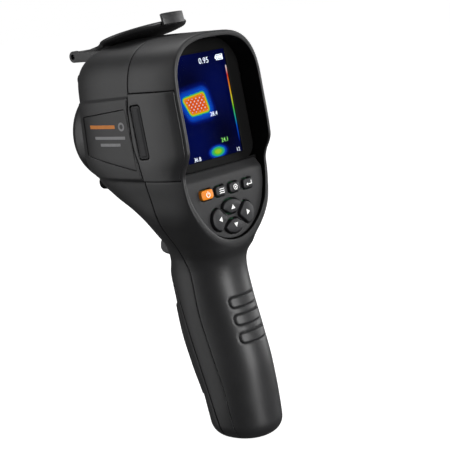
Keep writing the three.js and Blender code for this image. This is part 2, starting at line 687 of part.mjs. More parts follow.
function batterySpring() {
  const end = CELL.length / 2;
  const turns = [];
  for (let i = 0; i <= 32; i += 1) {
    const turn = (i / 32) * 3 * 2 * Math.PI;
    turns.push(new THREE.Vector3(3 * Math.cos(turn), 3 * Math.sin(turn), -end - 2.8 + (i / 32) * 2.1));
  }
  const wire = new THREE.Shape(Array.from({ length: 5 }, (_, i) => {
    const angle = (i / 5) * 2 * Math.PI;
    return new THREE.Vector2(0.25 * Math.cos(angle), 0.25 * Math.sin(angle));
  }));
  const path = new THREE.CatmullRomCurve3(turns);
  return alongGrip(new THREE.ExtrudeGeometry(wire, { steps: 36, bevelEnabled: false, extrudePath: path }));
}

function batteryContact() {
  const end = CELL.length / 2;
  return gripBox([-4, -4, end + 3.6], [4, 4, end + 4.4]);
}

function usbSocket() {
  return cut(
    boxBetween([-33.6, 14.6, 166.5], [-28.6, 17.6, 174.5]),
    boxBetween([-40, 15.1, 167], [-29.4, 17.1, 174]),
  );
}

function cardSocket() {
  return cut(
    boxBetween([-33.6, 16, 178], [-20, 18, 192]),
    boxBetween([-40, 16.5, 178.6], [-21, 17.5, 191.4]),
  );
}

// ---- assembly ----------------------------------------------------------------------------------

function piece(name, shape, material) {
  const geometry = shape.isBufferGeometry ? shape : geometryOf(shape);
  const mesh = new THREE.Mesh(geometry, new THREE.MeshStandardMaterial(MATERIALS[material]));
  mesh.name = name;
  return mesh;
}

function faceGroup() {
  const face = new THREE.Group();
  face.position.copy(FACE_ORIGIN);
  face.rotation.x = Math.PI / 2 - FACE_LEAN;
  face.add(piece("keypad_panel", keypadPanel(), "housing"));
  face.add(piece("display_window", displayWindow(), "window"));
  face.add(piece("lcd_panel", lcdPanel(), "screen"));
  for (const key of KEY_ROW) face.add(piece(key.name, keyCap(rowKeyOutline(key, 0)), key.material));
  for (const key of PAD_KEYS) face.add(piece(key + "_key", keyCap(padKeyOutline(key, 0)), "key"));
  const keypadBoard = boardWithParts(islandOutline(3, 9), -6.4, -5.2, [[0, -2, 6, 6, 1]]);
  face.add(piece("keypad_board", keypadBoard, "board"));
  const mainBoard = roundedRectangle(41, 58, 3, 0, 46);
  const chips = [[-8, 56, 14, 14, 1.4], [12, 40, 10, 12, 1.2], [-12, 32, 8, 8, 1], [14, 62, 6, 9, 1.6]];
  face.add(piece("main_board", boardWithParts(mainBoard, -15.6, -14, chips), "board"));
  return face;
}

function coverGroup() {
  const hinge = new THREE.Group();
  hinge.position.set(0, PIN.y, PIN.z);
  hinge.rotation.x = -COVER.openAngle;
  hinge.add(piece("lens_cover", lensCover(), "trim"));
  return hinge;
}

const camera = new THREE.Group();
camera.add(piece("front_shell", frontShell(), "housing"));
camera.add(piece("rear_shell", rearShell(), "housing"));
camera.add(piece("display_bezel", displayBezel(), "bezel"));
camera.add(piece("left_side_cover", sideCover(-1), "housing"));
camera.add(piece("right_side_cover", sideCover(1), "housing"));
for (const [name, low, high] of [["left_label_plate", -60, -20], ["right_label_plate", 20, 60]]) {
  const half = boxBetween([low, -60, 100], [high, 100, 240]);
  camera.add(piece(name, labelSpace(0.6, 1.2, GAP).intersect(half), "trim"));
}
camera.add(piece("port_cover", portCover(), "rubber"));
camera.add(piece("battery_cover", batteryCover(), "housing"));
camera.add(piece("lens_bezel", lensBezel(), "bezel"));
camera.add(piece("lens_barrel", lensBarrel(), "aluminium"));
camera.add(piece("ir_lens", irLens(), "germanium"));
camera.add(piece("ir_detector", irDetector(), "aluminium"));
camera.add(piece("shutter_motor", shutterMotor(), "steel"));
camera.add(piece("shutter_flag", shutterFlag(), "trim"));
camera.add(piece("viewing_camera", viewingCamera(), "trim"));
camera.add(piece("viewing_camera_window", viewingCameraWindow(), "window"));
const hingePin = cylinderAcross(PIN.radius, -PIN.halfLength, PIN.halfLength, PIN.y, PIN.z);
camera.add(piece("hinge_pin", hingePin, "steel"));
camera.add(piece("trigger", trigger(), "trim"));
const triggerPin = cylinderAcross(PIN.radius, -10, 10, TRIGGER.pivotY, TRIGGER.pivotZ);
camera.add(piece("trigger_pin", triggerPin, "steel"));
camera.add(piece("trigger_switch", triggerSwitch(), "trim"));
camera.add(piece("battery_holder", batteryHolder(), "trim"));
camera.add(piece("battery_cell", batteryCell(), "cell"));
camera.add(piece("battery_spring", batterySpring(), "steel"));
camera.add(piece("battery_contact", batteryContact(), "steel"));
camera.add(piece("usb_socket", usbSocket(), "steel"));
camera.add(piece("card_socket", cardSocket(), "steel"));
for (const place of SCREWS) camera.add(piece("housing_screw_" + place.name, screw(place), "steel"));
camera.add(faceGroup());
camera.add(coverGroup());

export default camera;
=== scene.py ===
"""The looks of the handheld thermal imaging camera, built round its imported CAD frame.

Shapes are worked out in millimetres in the row frame: +Z up the grip, +Y where the lens looks, +X to the
user's right, and the origin in the middle of the flat underside of the grip. build() turns them to metres.
"""

import math

import bmesh
import bpy
import numpy as np
from mathutils import Matrix, Vector
from mathutils.geometry import delaunay_2d_cdt


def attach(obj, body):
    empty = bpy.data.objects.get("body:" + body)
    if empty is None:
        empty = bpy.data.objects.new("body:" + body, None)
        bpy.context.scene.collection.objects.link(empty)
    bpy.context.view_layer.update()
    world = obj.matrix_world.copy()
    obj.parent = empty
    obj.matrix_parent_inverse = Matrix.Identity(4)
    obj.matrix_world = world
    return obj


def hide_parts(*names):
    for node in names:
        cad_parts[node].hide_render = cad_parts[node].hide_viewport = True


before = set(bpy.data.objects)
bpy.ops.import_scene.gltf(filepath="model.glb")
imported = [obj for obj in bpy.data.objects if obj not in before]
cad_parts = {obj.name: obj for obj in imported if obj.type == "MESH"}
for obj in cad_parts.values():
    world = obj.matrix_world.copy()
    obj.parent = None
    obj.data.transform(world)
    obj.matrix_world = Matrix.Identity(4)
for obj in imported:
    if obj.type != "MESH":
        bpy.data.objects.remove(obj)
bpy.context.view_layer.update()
MM = 0.001
FINE = 1.0  # coarser meshes while trying things

# ---- driving dimensions, the same as the CAD part's ----------------------------------------------

TOP = 226.6
FRONT_REACH = [(0, 22.5), (21, 25.5), (41, 32.1), (61, 37.1), (81, 39.1), (94, 40.4), (103, 38),
               (111, 37.8), (119, 41.6), (126, 45.8), (133, 53.6), (141, 66.6),
               (150, 75.6), (159, 77), (TOP, 77)]
REAR_REACH = [(0, -18), (21, -16.9), (41, -15.4), (61, -11.5), (81, -6.6), (96, -4.4), (103, -4.9),
              (109.7, -7.9), (126, -7.6), (141, -5.9), (152, -5.5), (157, -7), (162, -10.1), (166, -11.4),
              (199, -9.2), (TOP, -7.7)]
HALF_WIDTH = [(0, 18.6), (20, 19.4), (96, 19.5), (103, 20.2), (109.7, 22.4), (119, 27.2), (126, 30.8),
              (133, 33.3), (141, 35), (151, 37), (163, 38), (TOP, 38)]
WIDEST_AT = [(0, 3.7), (20, 4.4), (41, 8.3), (61, 12.8), (81, 15.7), (96, 17), (109.7, 16.3), (126, 18),
             (141, 20), (151, 21), (163, 23), (TOP, 23)]
FRONT_SQUARENESS = [(0, 2.2), (103, 2.2), (126, 2.4), (141, 2.8), (151, 3.2), (166, 4.6), (TOP, 4.6)]
REAR_SQUARENESS = [(0, 2.2), (99, 2.2), (112, 3.3), (126, 3.8), (141, 3), (166, 2.4), (TOP, 2.4)]
PARTING_LINE = [(-5, -6), (6, -4.2), (30, -0.6), (51, 5.2), (75, 11), (98, 13.5), (103, 15.1), (113, 17),
                (127, 19.5), (138, 19.7), (150, 20.3), (161, 21.5), (173, 24.4), (188, 24.5), (199, 23.3),
                (211, 22.9), (TOP + 5, 22.8)]
BASE_EDGE_RADIUS = 9
RIM_HALF_WIDTH = 33.4
RIM_U_CENTRE = 149
RIM_U_HEIGHT = 39.3
ARCH_START = 193
ARCH_SQUARENESS = 3
FRONT_EDGE_START = 201
FRONT_EDGE_SQUARENESS = 2.9
FACE_ORIGIN = Vector((0, -6, 141))
FACE_LEAN = math.radians(5)
SCREEN_WIDTH, SCREEN_HEIGHT, SCREEN_CENTRE, SCREEN_DEPTH = 43.2, 57.6, 46.4, -5.3
LENS_HEIGHT = 173.4
SIGHT_DROP = 17.5  # the small camera, below the lens
LATCH_START, LATCH_DROP = 83.2, 23.6  # a flat under the bezel for the cover's tab
BEZEL_RADIUS = 28.6
PIN_Y, PIN_Z, PIN_RADIUS = 90.5, 219.4, 1.5
EAR_RADIUS, EAR_INSIDE, EAR_OUTSIDE, EAR_ROOT = 3.3, 11.3, 15.3, 60
COVER_ARM, DISC_RADIUS, COVER_THICKNESS, COVER_DOME = 46, 25, 2.8, 0.7
COVER_OPEN_ANGLE = math.radians(11.5)
SEAM_SLOPE, SEAM_AT_BASE, BATTERY_COVER_TOP, COVER_CORNER = 0.28, 4, 88, 7
BAND_BOTTOM, BAND_TOP, BAND_PROUD = 151.8, 199.3, 0.9
CHEEK = [(10, 151), (62, 151.5), (69.5, 158), (70.5, 166), (69, 196.5), (10, 199.3)]
LABEL = [(63.4, 165.6), (63, 187.6), (26, 191.6), (22.7, 157.5)]
PORT_Y, PORT_Z, PORT_WIDTH, PORT_HEIGHT, PORT_LEAN = 17.6, 178.6, 7, 29, math.radians(5)
TRIGGER_HALF, TRIGGER_TOP, TRIGGER_BOTTOM = 7, 122.5, 101.6
SCREWS = [(25, 207), (24, 148.5)]
SCREW_WELL_RADIUS, SCREW_WELL_END = 3.0, 31

SEAM_GAP = 0.15  # half the gap between two pieces of the housing
BATTERY_SEAM_GAP = 0.32
SIDE_COVER_GAP = 0.35
TRIGGER_GAP = 0.35
BEZEL_GAP = 0.3
SEAM_ROUND = 0.45  # the radius of their edges
SKIN = 1.2        # the thickness of a moulded wall, as shown
HOOD_SKIN = 0.8


# ---- curves --------------------------------------------------------------------------------------

def along(stations, at):
    """The value at a height on a smooth curve through the stations, which never overshoots them."""
    heights, values = np.array(stations, float).T
    spans = np.diff(heights)
    rises = np.diff(values) / spans
    slopes = np.zeros(len(values))
    turning = rises[:-1] * rises[1:] <= 0
    both = np.where(turning, 1, rises[:-1] + rises[1:])
    slopes[1:-1] = np.where(turning, 0, 2 * rises[:-1] * rises[1:] / both)
    at = np.clip(at, heights[0], heights[-1])
    i = np.clip(np.searchsorted(heights, at, side="right") - 1, 0, len(spans) - 1)
    t = (at - heights[i]) / spans[i]
    start = (1 + 2 * t) * (1 - t) ** 2 * values[i] + t * (1 - t) ** 2 * spans[i] * slopes[i]
    return start + t * t * (3 - 2 * t) * values[i + 1] + t * t * (t - 1) * spans[i] * slopes[i + 1]


def smooth(start, end, value):
    """0 before start and 1 after end, with a smooth step between them."""
    t = np.clip((np.asarray(value, float) - start) / (end - start), 0, 1)
    return t * t * (3 - 2 * t)


def resampled(line, step):
    """The polyline with a point about every step, keeping its own points."""
    line = np.asarray(line, float)
    out = [line[0]]
    for a, b in zip(line[:-1], line[1:]):
        count = max(1, int(np.hypot(*(b - a)) / step + 0.5))
        out += [a + (b - a) * (i / count) for i in range(1, count + 1)]
    return np.array(out)


def unit(vectors):
    """Each row of vectors at length 1."""
    return vectors / np.linalg.norm(vectors, axis=1)[:, None]


def beside(line, distance, closed=False):
    """The polyline moved to its left by distance."""
    ahead = np.roll(line, -1, axis=0) - line
    behind = line - np.roll(line, 1, axis=0)
    if not closed:
        ahead[-1] = behind[-1]
        behind[0] = ahead[0]
    along_line = unit(unit(ahead) + unit(behind))
    return line + distance * np.stack([-along_line[:, 1], along_line[:, 0]], 1)


def distance_to(points, lines):
    """Each point's distance to the nearest of the polylines."""
    nearest = np.full(len(points), 1e9)
    for line in lines:
        starts, steps = line[:-1], np.diff(line, axis=0)
        lengths = np.maximum((steps ** 2).sum(1), 1e-12)
        for first in range(0, len(points), 2000):
            part = points[first:first + 2000]
            to_start = part[:, None] - starts[None]
            t = np.clip((to_start * steps[None]).sum(2) / lengths, 0, 1)
            gap = np.sqrt(((to_start - t[..., None] * steps[None]) ** 2).sum(2)).min(1)
            nearest[first:first + 2000] = np.minimum(nearest[first:first + 2000], gap)
    return nearest


def inside(points, loop):
    """Whether each point lies inside the closed loop."""
    x, y = points[:, 0][:, None], points[:, 1][:, None]
    x0, y0 = loop.T
    x1, y1 = np.roll(loop, -1, axis=0).T
    crossing = (y0 > y) != (y1 > y)
    with np.errstate(divide="ignore", invalid="ignore"):
        reach = (x1 - x0) * (y - y0) / (y1 - y0) + x0
    return (crossing & (x < reach)).sum(1) % 2 == 1


def closed(loop):
    return np.vstack([loop, loop[:1]])


def polygon_distance(points, corners):
    """The signed distance to a polygon, negative inside."""
    corners = np.asarray(corners, float)
    away = distance_to(points, [closed(corners)])
    return np.where(inside(points, corners), -away, away)


def rectangle_distance(points, centre, half, radius):
    """The signed distance to a rectangle with rounded corners, negative inside."""
    beyond = np.abs(points - np.asarray(centre)) - (np.asarray(half) - radius)
    outer = np.hypot(*np.maximum(beyond, 0).T)
    return outer + np.minimum(beyond.max(1), 0) - radius


def rounded_rectangle(centre, half, radius, steps=6):
    """A rectangle's outline with rounded corners, anticlockwise."""
    points = []
    for quarter, (sx, sy) in enumerate([(1, 1), (-1, 1), (-1, -1), (1, -1)]):
        for i in range(steps + 1):
            angle = math.pi / 2 * (quarter + i / steps)
            points.append((centre[0] + sx * (half[0] - radius) + radius * math.cos(angle),
                           centre[1] + sy * (half[1] - radius) + radius * math.sin(angle)))
    return np.array(points)


def filleted(corners, radius, steps=5, loop=True):
    """A polyline with each corner rounded, by a curve from radius before it to radius after it."""
    corners = [np.asarray(c, float) for c in corners]
    count = len(corners)
    points = []
    for i, corner in enumerate(corners):
        if not loop and i in (0, count - 1):
            points.append(corner)
            continue
        before, after = corners[i - 1], corners[(i + 1) % count]
        reach = [min(radius, 0.45 * np.linalg.norm(end - corner)) for end in (before, after)]
        a = corner + (before - corner) / np.linalg.norm(before - corner) * reach[0]
        b = corner + (after - corner) / np.linalg.norm(after - corner) * reach[1]
        for step in range(steps + 1):
            t = step / steps
            points.append((1 - t) ** 2 * a + 2 * t * (1 - t) * corner + t * t * b)
    return np.array(points)


# ---- the housing's surface -----------------------------------------------------------------------
# A point of the right half is found by two measures in mm: across, along the level section from the parting
# line, positive to the front; and way, up the side from the base. Below way 0 lies the flat underside.

REAR_COLUMNS = 48
FRONT_COLUMNS = 64
REAR = slice(0, REAR_COLUMNS)
FRONT = slice(REAR_COLUMNS - 1, REAR_COLUMNS + FRONT_COLUMNS - 1)


def rounding(z, start, power):
    share = np.clip((z - start) / (TOP - start), 0, 1)
    return np.maximum(0, 1 - share ** power) ** (1 / power)


def squared_reach(cosine, sine, power):
    """How far a superellipse of radius 1 lies from its centre in a direction."""
    return (cosine ** power + sine ** power) ** (-1 / power)


def levels():
    """Heights up the housing, the share of the width left at each, and the way up the side to each."""
    turn = np.radians(np.linspace(0, 90, 13))
    base = np.stack([BASE_EDGE_RADIUS * (1 - np.cos(turn)), np.ones(13), BASE_EDGE_RADIUS * turn], 1)
    z = np.arange(BASE_EDGE_RADIUS + 0.75, ARCH_START, 0.75)
    bowl = RIM_U_CENTRE - RIM_U_HEIGHT * np.cos(np.radians(np.arange(0, 60, 2.5)))
    z = np.unique(np.round(np.concatenate([z, bowl]), 3))
    edge_length = BASE_EDGE_RADIUS * math.pi / 2
    middle = np.stack([z, np.ones(len(z)), edge_length + z - BASE_EDGE_RADIUS], 1)
    turn = np.radians(np.linspace(0, 90, 121))
    reach = squared_reach(np.abs(np.cos(turn)), np.sin(turn), ARCH_SQUARENESS)
    share = np.maximum(reach * np.cos(turn), 0)
    rise = (TOP - ARCH_START) * reach * np.sin(turn)
    half = along(HALF_WIDTH, TOP)
    way = np.concatenate([[0], np.cumsum(np.hypot(np.diff(rise), half * np.diff(share)))])
    arch = np.stack([ARCH_START + rise, share, edge_length + ARCH_START - BASE_EDGE_RADIUS + way], 1)
    return np.vstack([base, middle, arch]).T


def rim_half_width(z):
    drop = np.clip((RIM_U_CENTRE - z) / RIM_U_HEIGHT, 0, 1)
    return RIM_HALF_WIDTH * np.sqrt(1 - drop ** 2)


def half_sections(z, share):
    """The right half of the level section at each height, from the rear to the front, as points."""
    base_edge = np.clip(BASE_EDGE_RADIUS - z, 0, None)
    tuck = BASE_EDGE_RADIUS - np.sqrt(BASE_EDGE_RADIUS ** 2 - base_edge ** 2)
    widest = along(WIDEST_AT, z)
    front_edge = rounding(z, FRONT_EDGE_START, FRONT_EDGE_SQUARENESS)
    front = (along(FRONT_REACH, z) - tuck - widest) * front_edge
    rear = widest - along(REAR_REACH, z) - tuck
    half = along(HALF_WIDTH, z) - tuck
    power = along(REAR_SQUARENESS, z)[:, None]
    full = 1 - np.minimum(0.97, rim_half_width(z) / half)[:, None] ** power
    turn = np.arcsin(np.sqrt(full)) * np.linspace(1, 0, REAR_COLUMNS)
    back = (np.sin(turn) ** 2 / full) ** (1 / power)
    rear_x = half[:, None] * np.abs(np.cos(turn)) ** (2 / power)
    rear_y = widest[:, None] - rear[:, None] * back
    power = along(FRONT_SQUARENESS, z)[:, None]
    turn = np.linspace(0, math.pi / 2, FRONT_COLUMNS)[1:]
    cosine, sine = np.abs(np.cos(turn)), np.sin(turn)
    reach = squared_reach(cosine, sine, power)
    x = np.hstack([rear_x, half[:, None] * reach * cosine]) * share[:, None]
    y = np.hstack([rear_y, widest[:, None] + front[:, None] * reach * sine])
    x[x < 1e-6] = 0
    return np.stack([x, y, np.broadcast_to(z[:, None], x.shape)], 2)


def surface_normals(points):
    normals = np.cross(np.gradient(points, axis=1), np.gradient(points, axis=0))
    normals[..., 0][points[..., 0] < 1e-6] = 0
    normals[0] = (0, 0, -1)
    length = np.linalg.norm(normals, axis=2)
    normals[length < 1e-9] = (0, 0, 1)
    return normals / np.maximum(length, 1e-9)[..., None]


LEVEL_Z, LEVEL_SHARE, WAY = levels()
SECTIONS = half_sections(LEVEL_Z, LEVEL_SHARE)
STEPS = np.hypot(*np.diff(SECTIONS[..., :2], axis=1).transpose(2, 0, 1))
ACROSS = np.hstack([np.zeros((len(WAY), 1)), np.cumsum(STEPS, axis=1)])
ACROSS -= np.array([np.interp(along(PARTING_LINE, z), row[:, 1], reach)
                    for z, row, reach in zip(LEVEL_Z, SECTIONS, ACROSS)])[:, None]
GRID = np.concatenate([SECTIONS, surface_normals(SECTIONS)], axis=2)
WAY_TOP = WAY[-1]


def housing_surface(measures):
    """The points of the housing's right half at these (across, way) measures, and the way out there."""
    across, way = measures.T
    level = np.clip(np.searchsorted(WAY, way, side="right") - 1, 0, len(WAY) - 2)
    share = np.clip((way - WAY[level]) / (WAY[level + 1] - WAY[level]), 0, 1)[:, None]
    low, high = np.zeros((2, len(measures), 6))
    for k in np.unique(level):
        here = level == k
        for values, row in ((low, k), (high, k + 1)):
            for axis in range(6):
                values[here, axis] = np.interp(across[here], ACROSS[row], GRID[row, :, axis])
    both = low * (1 - share) + high * share
    points, out = both[:, :3], both[:, 3:]
    points[:, 0] = np.maximum(points[:, 0] + np.minimum(way, 0), 0)
    return points, out / np.maximum(np.linalg.norm(out, axis=1), 1e-9)[:, None]


def way_at(z):
    return float(np.interp(z, LEVEL_Z, WAY))


def section_at(z):
    """One level section as (across, points)."""
    level = float(np.interp(z, LEVEL_Z, np.arange(len(LEVEL_Z))))
    k = min(int(level), len(LEVEL_Z) - 2)
    share = level - k
    across = ACROSS[k] * (1 - share) + ACROSS[k + 1] * share
    return across, SECTIONS[k] * (1 - share) + SECTIONS[k + 1] * share


def measure(z, x=None, y=None, columns=FRONT):
    """The (across, way) of the point at height z with this y, or this x on the front or rear columns."""
    across, points = section_at(z)
    if y is not None:
        return float(np.interp(y, points[:, 1], across)), way_at(z)
    reach, values = across[columns], points[columns, 0]
    if values[0] > values[-1]:
        reach, values = reach[::-1], values[::-1]
    return float(np.interp(x, values, reach)), way_at(z)


def front_end(way):
    return np.interp(way, WAY, ACROSS[:, -1])


def rear_end(way):
    return np.interp(way, WAY, ACROSS[:, 0])


# ---- sheets and solids ---------------------------------------------------------------------------

SHEET_SPACING = 1.4 * FINE
EDGE_SPACING = 0.9 * FINE


def grid_over(outline, spacing):
    """Points on a triangular grid over the outline's box."""
    low, high = outline.min(0), outline.max(0)
    rows = []
    for i, y in enumerate(np.arange(low[1], high[1], spacing * 0.87)):
        x = np.arange(low[0] + (i % 2) * spacing / 2, high[0], spacing)
        rows.append(np.stack([x, np.full(len(x), y)], 1))
    return np.vstack(rows)


def triangulated(outline, holes, extra):
    """Triangles over the outline, less the holes, through the extra points."""
    points, edges = [], []
    for loop in [outline, *holes]:
        first = len(points)
        points += list(loop)
        edges += [(first + i, first + (i + 1) % len(loop)) for i in range(len(loop))]
    points += list(extra)
    made = delaunay_2d_cdt([Vector(p) for p in points], edges, [], 0, 1e-5)
    flat = np.array([tuple(p) for p in made[0]])
    faces = np.array([f for f in made[2] if len(f) == 3])
    middles = flat[faces].mean(1)
    keep = inside(middles, outline)
    for hole in holes:
        keep &= ~inside(middles, hole)
    return flat, faces[keep]


def rounding_rows(seams, radius):
    """Points along the seams' rounded edges, on both sides, less those that come near another seam."""
    rows = []
    for share in (0.076, 0.293, 0.617, 1):
        for line in seams:
            for side in (1, -1):
                row = beside(line, side * share * radius)
                rows.append(row[distance_to(row, seams) > share * radius * 0.9])
    return rows


def filler_points(outline, lines, extra, spacing):
    """A grid over the sheet, less its points near the sheet's lines and near the extra points."""
    filler = grid_over(outline, spacing)
    cell = spacing * 0.55
    taken = {tuple(c) for c in np.round(extra / cell).astype(int)}
    near = np.array([tuple(c) in taken for c in np.round(filler / cell).astype(int)])
    filler = filler[~near]
    return filler[distance_to(filler, lines) > 0.5 * spacing]


def edge_drop(to_seam, radius):
    """How far a rounded edge falls away, at each distance from its seam."""
    inward = np.clip(radius - to_seam, 0, radius)
    return np.where(to_seam < radius, radius - np.sqrt(radius ** 2 - inward ** 2), 0)


def seam_border(faces, on_seam):
    """The edges of the triangles that lie on a seam with nothing beyond them."""
    sides = {}
    for face in faces:
        for a, b in ((face[0], face[1]), (face[1], face[2]), (face[2], face[0])):
            sides[(a, b)] = True
    return [(a, b) for a, b in sides if (b, a) not in sides and on_seam[a] and on_seam[b]]


def sheet(edges, surface, relief=None, holes=(), rows=(), spacing=SHEET_SPACING, radius=SEAM_ROUND,
          skirt=2.2):
    """A moulded skin over part of a surface, with rounded edges that turn in.

    edges go round it anticlockwise as (kind, line): a seam's edge is rounded and turns in, a mirror's edge
    lies on x = 0, and a weld's edge is left for another mesh to meet. rows are more points that the relief
    needs. Returns points, faces and which points lie on x = 0."""
    lines = [(kind, resampled(line, EDGE_SPACING)) for kind, line in edges]
    outline = np.vstack([line[:-1] for _, line in lines])
    if (outline[:, 0] * np.roll(outline[:, 1], -1) - outline[:, 1] * np.roll(outline[:, 0], -1)).sum() < 0:
        raise ValueError("the edges of a sheet go round it anticlockwise")
    holes = [resampled(closed(hole), EDGE_SPACING)[:-1] for hole in holes]
    hole_lines = [closed(hole) for hole in holes]
    seams = [line for kind, line in lines if kind == "seam"] + hole_lines
    mirrors = [line for kind, line in lines if kind == "mirror"]
    everything = [line for _, line in lines] + hole_lines
    extra = rounding_rows(seams, radius) + [resampled(row, EDGE_SPACING) for row in rows]
    extra = np.vstack([*extra, np.zeros((0, 2))])
    extra = np.vstack([extra, filler_points(outline, everything, extra, spacing)])
    keep = inside(extra, outline) & (distance_to(extra, everything) > 0.02)
    for hole in holes:
        keep &= ~inside(extra, hole)
    flat, faces = triangulated(outline, holes, extra[keep])
    base, out = surface(flat)
    to_seam = distance_to(flat, seams)
    rise = relief(base, flat) if relief else np.zeros(len(flat))
    on_mirror = distance_to(flat, mirrors) < 1e-3
    out[on_mirror, 0] = 0
    base[on_mirror, 0] = 0
    points = base + out * (rise - edge_drop(to_seam, radius))[:, None]
    border = seam_border(faces, to_seam < 1e-3)
    turned = sorted({i for pair in border for i in pair})
    inner = {old: len(points) + i for i, old in enumerate(turned)}
    points = np.vstack([points, base[turned] + out[turned] * (rise[turned] - skirt)[:, None]])
    on_mirror = np.concatenate([on_mirror, on_mirror[turned]])
    faces = [tuple(f) for f in faces] + [(b, a, inner[a], inner[b]) for a, b in border]
    return points, faces, on_mirror


def mirrored(points, faces, on_mirror):
    """The sheet with its reflection in x = 0, joined along that plane."""
    points = np.asarray(points, float)
    other = np.arange(len(points))
    others = np.where(~on_mirror)[0]
    other[others] = len(points) + np.arange(len(others))
    reflected = points[others] * (-1, 1, 1)
    far_faces = [tuple(other[i] for i in reversed(f)) for f in faces]
    return np.vstack([points, reflected]), list(faces) + far_faces


def joined(*meshes):
    """Several (points, faces) as one."""
    points, faces = [], []
    for some_points, some_faces in meshes:
        first = sum(len(p) for p in points)
        points.append(np.asarray(some_points, float))
        faces += [tuple(i + first for i in f) for f in some_faces]
    return np.vstack(points), faces


def moved(mesh, matrix):
    points, faces = mesh
    return np.array([matrix @ Vector(p) for p in points]), faces


def swept(rings, caps=True):
    """A skin through closed rings of points, with flat ends."""
    count = len(rings[0])
    faces = []
    for r in range(len(rings) - 1):
        for i in range(count):
            a, b = r * count + i, r * count + (i + 1) % count
            faces.append((a, b, b + count, a + count))
    if caps:
        faces.append(tuple(range(count))[::-1])
        faces.append(tuple(range((len(rings) - 1) * count, len(rings) * count)))
    return np.vstack(rings), faces


def turned_solid(profile, segments=96):
    """A (radius, y) profile turned about +Y. The first and last points lie on the axis, or the profile is a
    closed ring's."""
    segments = int(segments / FINE)
    profile = np.asarray(profile, float)
    ring = profile[0][0] > 1e-6
    turns = np.linspace(0, 2 * math.pi, segments, endpoint=False)
    points = [(r * math.sin(t), y, r * math.cos(t)) for r, y in profile for t in turns]
    faces = []
    rows = len(profile)
    for row in range(rows if ring else rows - 1):
        for i in range(segments):
            a, b = row * segments + i, row * segments + (i + 1) % segments
            c, d = ((row + 1) % rows) * segments + (i + 1) % segments, ((row + 1) % rows) * segments + i
            faces.append((a, b, c, d))
    return np.array(points), faces


def stacked(outline, rings):
    """The outline once for each (inset, height), moved in and up."""
    return [np.column_stack([beside(outline, inset, closed=True), np.full(len(outline), z)])
            for inset, z in rings]


def prism(outline, low, high, edge=0.4, steps=3):
    """A plate with its outline in x and y from z = low to z = high, with rounded edges."""
    outline = np.asarray(outline, float)
    rings = []
    for i in range(steps + 1):
        turn = math.pi / 2 * i / steps
        rings.append((edge * (1 - math.sin(turn)), low + edge * (1 - math.cos(turn))))
    rings += [(inset, low + high - z) for inset, z in reversed(rings)]
    return swept(stacked(outline, rings))


ACROSS_X = Matrix(((0, 0, 1, 0), (1, 0, 0, 0), (0, 1, 0, 0), (0, 0, 0, 1)))  # a plate's x, y, z to y, z, x


# ---- objects -------------------------------------------------------------------------------------

def settle(obj):
    """Applies the object's modifiers to its mesh."""
    graph = bpy.context.evaluated_depsgraph_get()
    mesh = bpy.data.meshes.new_from_object(obj.evaluated_get(graph))
    obj.modifiers.clear()
    obj.data = mesh


def shade(mesh, sharp_over=38):
    """Smooth shading, with edges sharper than the angle kept crisp."""
    bm = bmesh.new()
    bm.from_mesh(mesh)
    for face in bm.faces:
        face.smooth = True
    for edge in bm.edges:
        edge.smooth = edge.calc_face_angle(0) < math.radians(sharp_over)
    bm.to_mesh(mesh)
    bm.free()


def build(name, mesh, material, body, replaces=(), wall=0):
    """One visible piece from points in millimetres, riding on a CAD body."""
    points, faces = mesh
    data = bpy.data.meshes.new(name)
    data.from_pydata((np.asarray(points) * MM).tolist(), [], [tuple(int(i) for i in f) for f in faces])
    bm = bmesh.new()
    bm.from_mesh(data)
    bmesh.ops.remove_doubles(bm, verts=bm.verts, dist=1e-6)
    bmesh.ops.dissolve_degenerate(bm, edges=bm.edges, dist=1e-7)
    if not wall:
        bmesh.ops.recalc_face_normals(bm, faces=bm.faces)
    bm.to_mesh(data)
    bm.free()
    obj = bpy.data.objects.new(name, data)
    bpy.context.scene.collection.objects.link(obj)
    if wall:
        skin = obj.modifiers.new("wall", "SOLIDIFY")
        skin.thickness = wall * MM
        skin.offset = -1
        settle(obj)
    shade(obj.data)
    obj.data.materials.clear()
    obj.data.materials.append(material)
    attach(obj, body)
    if replaces:
        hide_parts(*replaces)
    return obj


def fixed(name, mesh, material, replaces=(), wall=0):
    """One visible piece that stays with the camera's body."""
    return build(name, mesh, material, "camera_body", replaces, wall)


def temporary(mesh):
    points, faces = mesh
    data = bpy.data.meshes.new("temporary")
    data.from_pydata(np.asarray(points).tolist(), [], [tuple(int(i) for i in f) for f in faces])
    bm = bmesh.new()
    bm.from_mesh(data)
    bmesh.ops.remove_doubles(bm, verts=bm.verts, dist=1e-4)
    bmesh.ops.recalc_face_normals(bm, faces=bm.faces)
    bm.to_mesh(data)
    bm.free()
    obj = bpy.data.objects.new("temporary", data)
    bpy.context.scene.collection.objects.link(obj)
    return obj


def carved(mesh, *tools):
    """The closed mesh with the closed tools cut out of it."""
    whole = temporary(mesh)
    cutters = [temporary(tool) for tool in tools]
    for cutter in cutters:
        hole = whole.modifiers.new("hole", "BOOLEAN")
        hole.object = cutter
        hole.solver = "EXACT"
    settle(whole)
    points = np.array([tuple(v.co) for v in whole.data.vertices])
    faces = [tuple(p.vertices) for p in whole.data.polygons]
    for obj in (whole, *cutters):
        bpy.data.objects.remove(obj)
    return points, faces


def block(low, high):
    """A box, for cutting."""
    x, y = (low[0], high[0]), (low[1], high[1])
    rings = [np.array([(x[0], y[0], z), (x[1], y[0], z), (x[1], y[1], z), (x[0], y[1], z)])
             for z in (low[2], high[2])]
    return swept(rings)


# ---- materials -----------------------------------------------------------------------------------

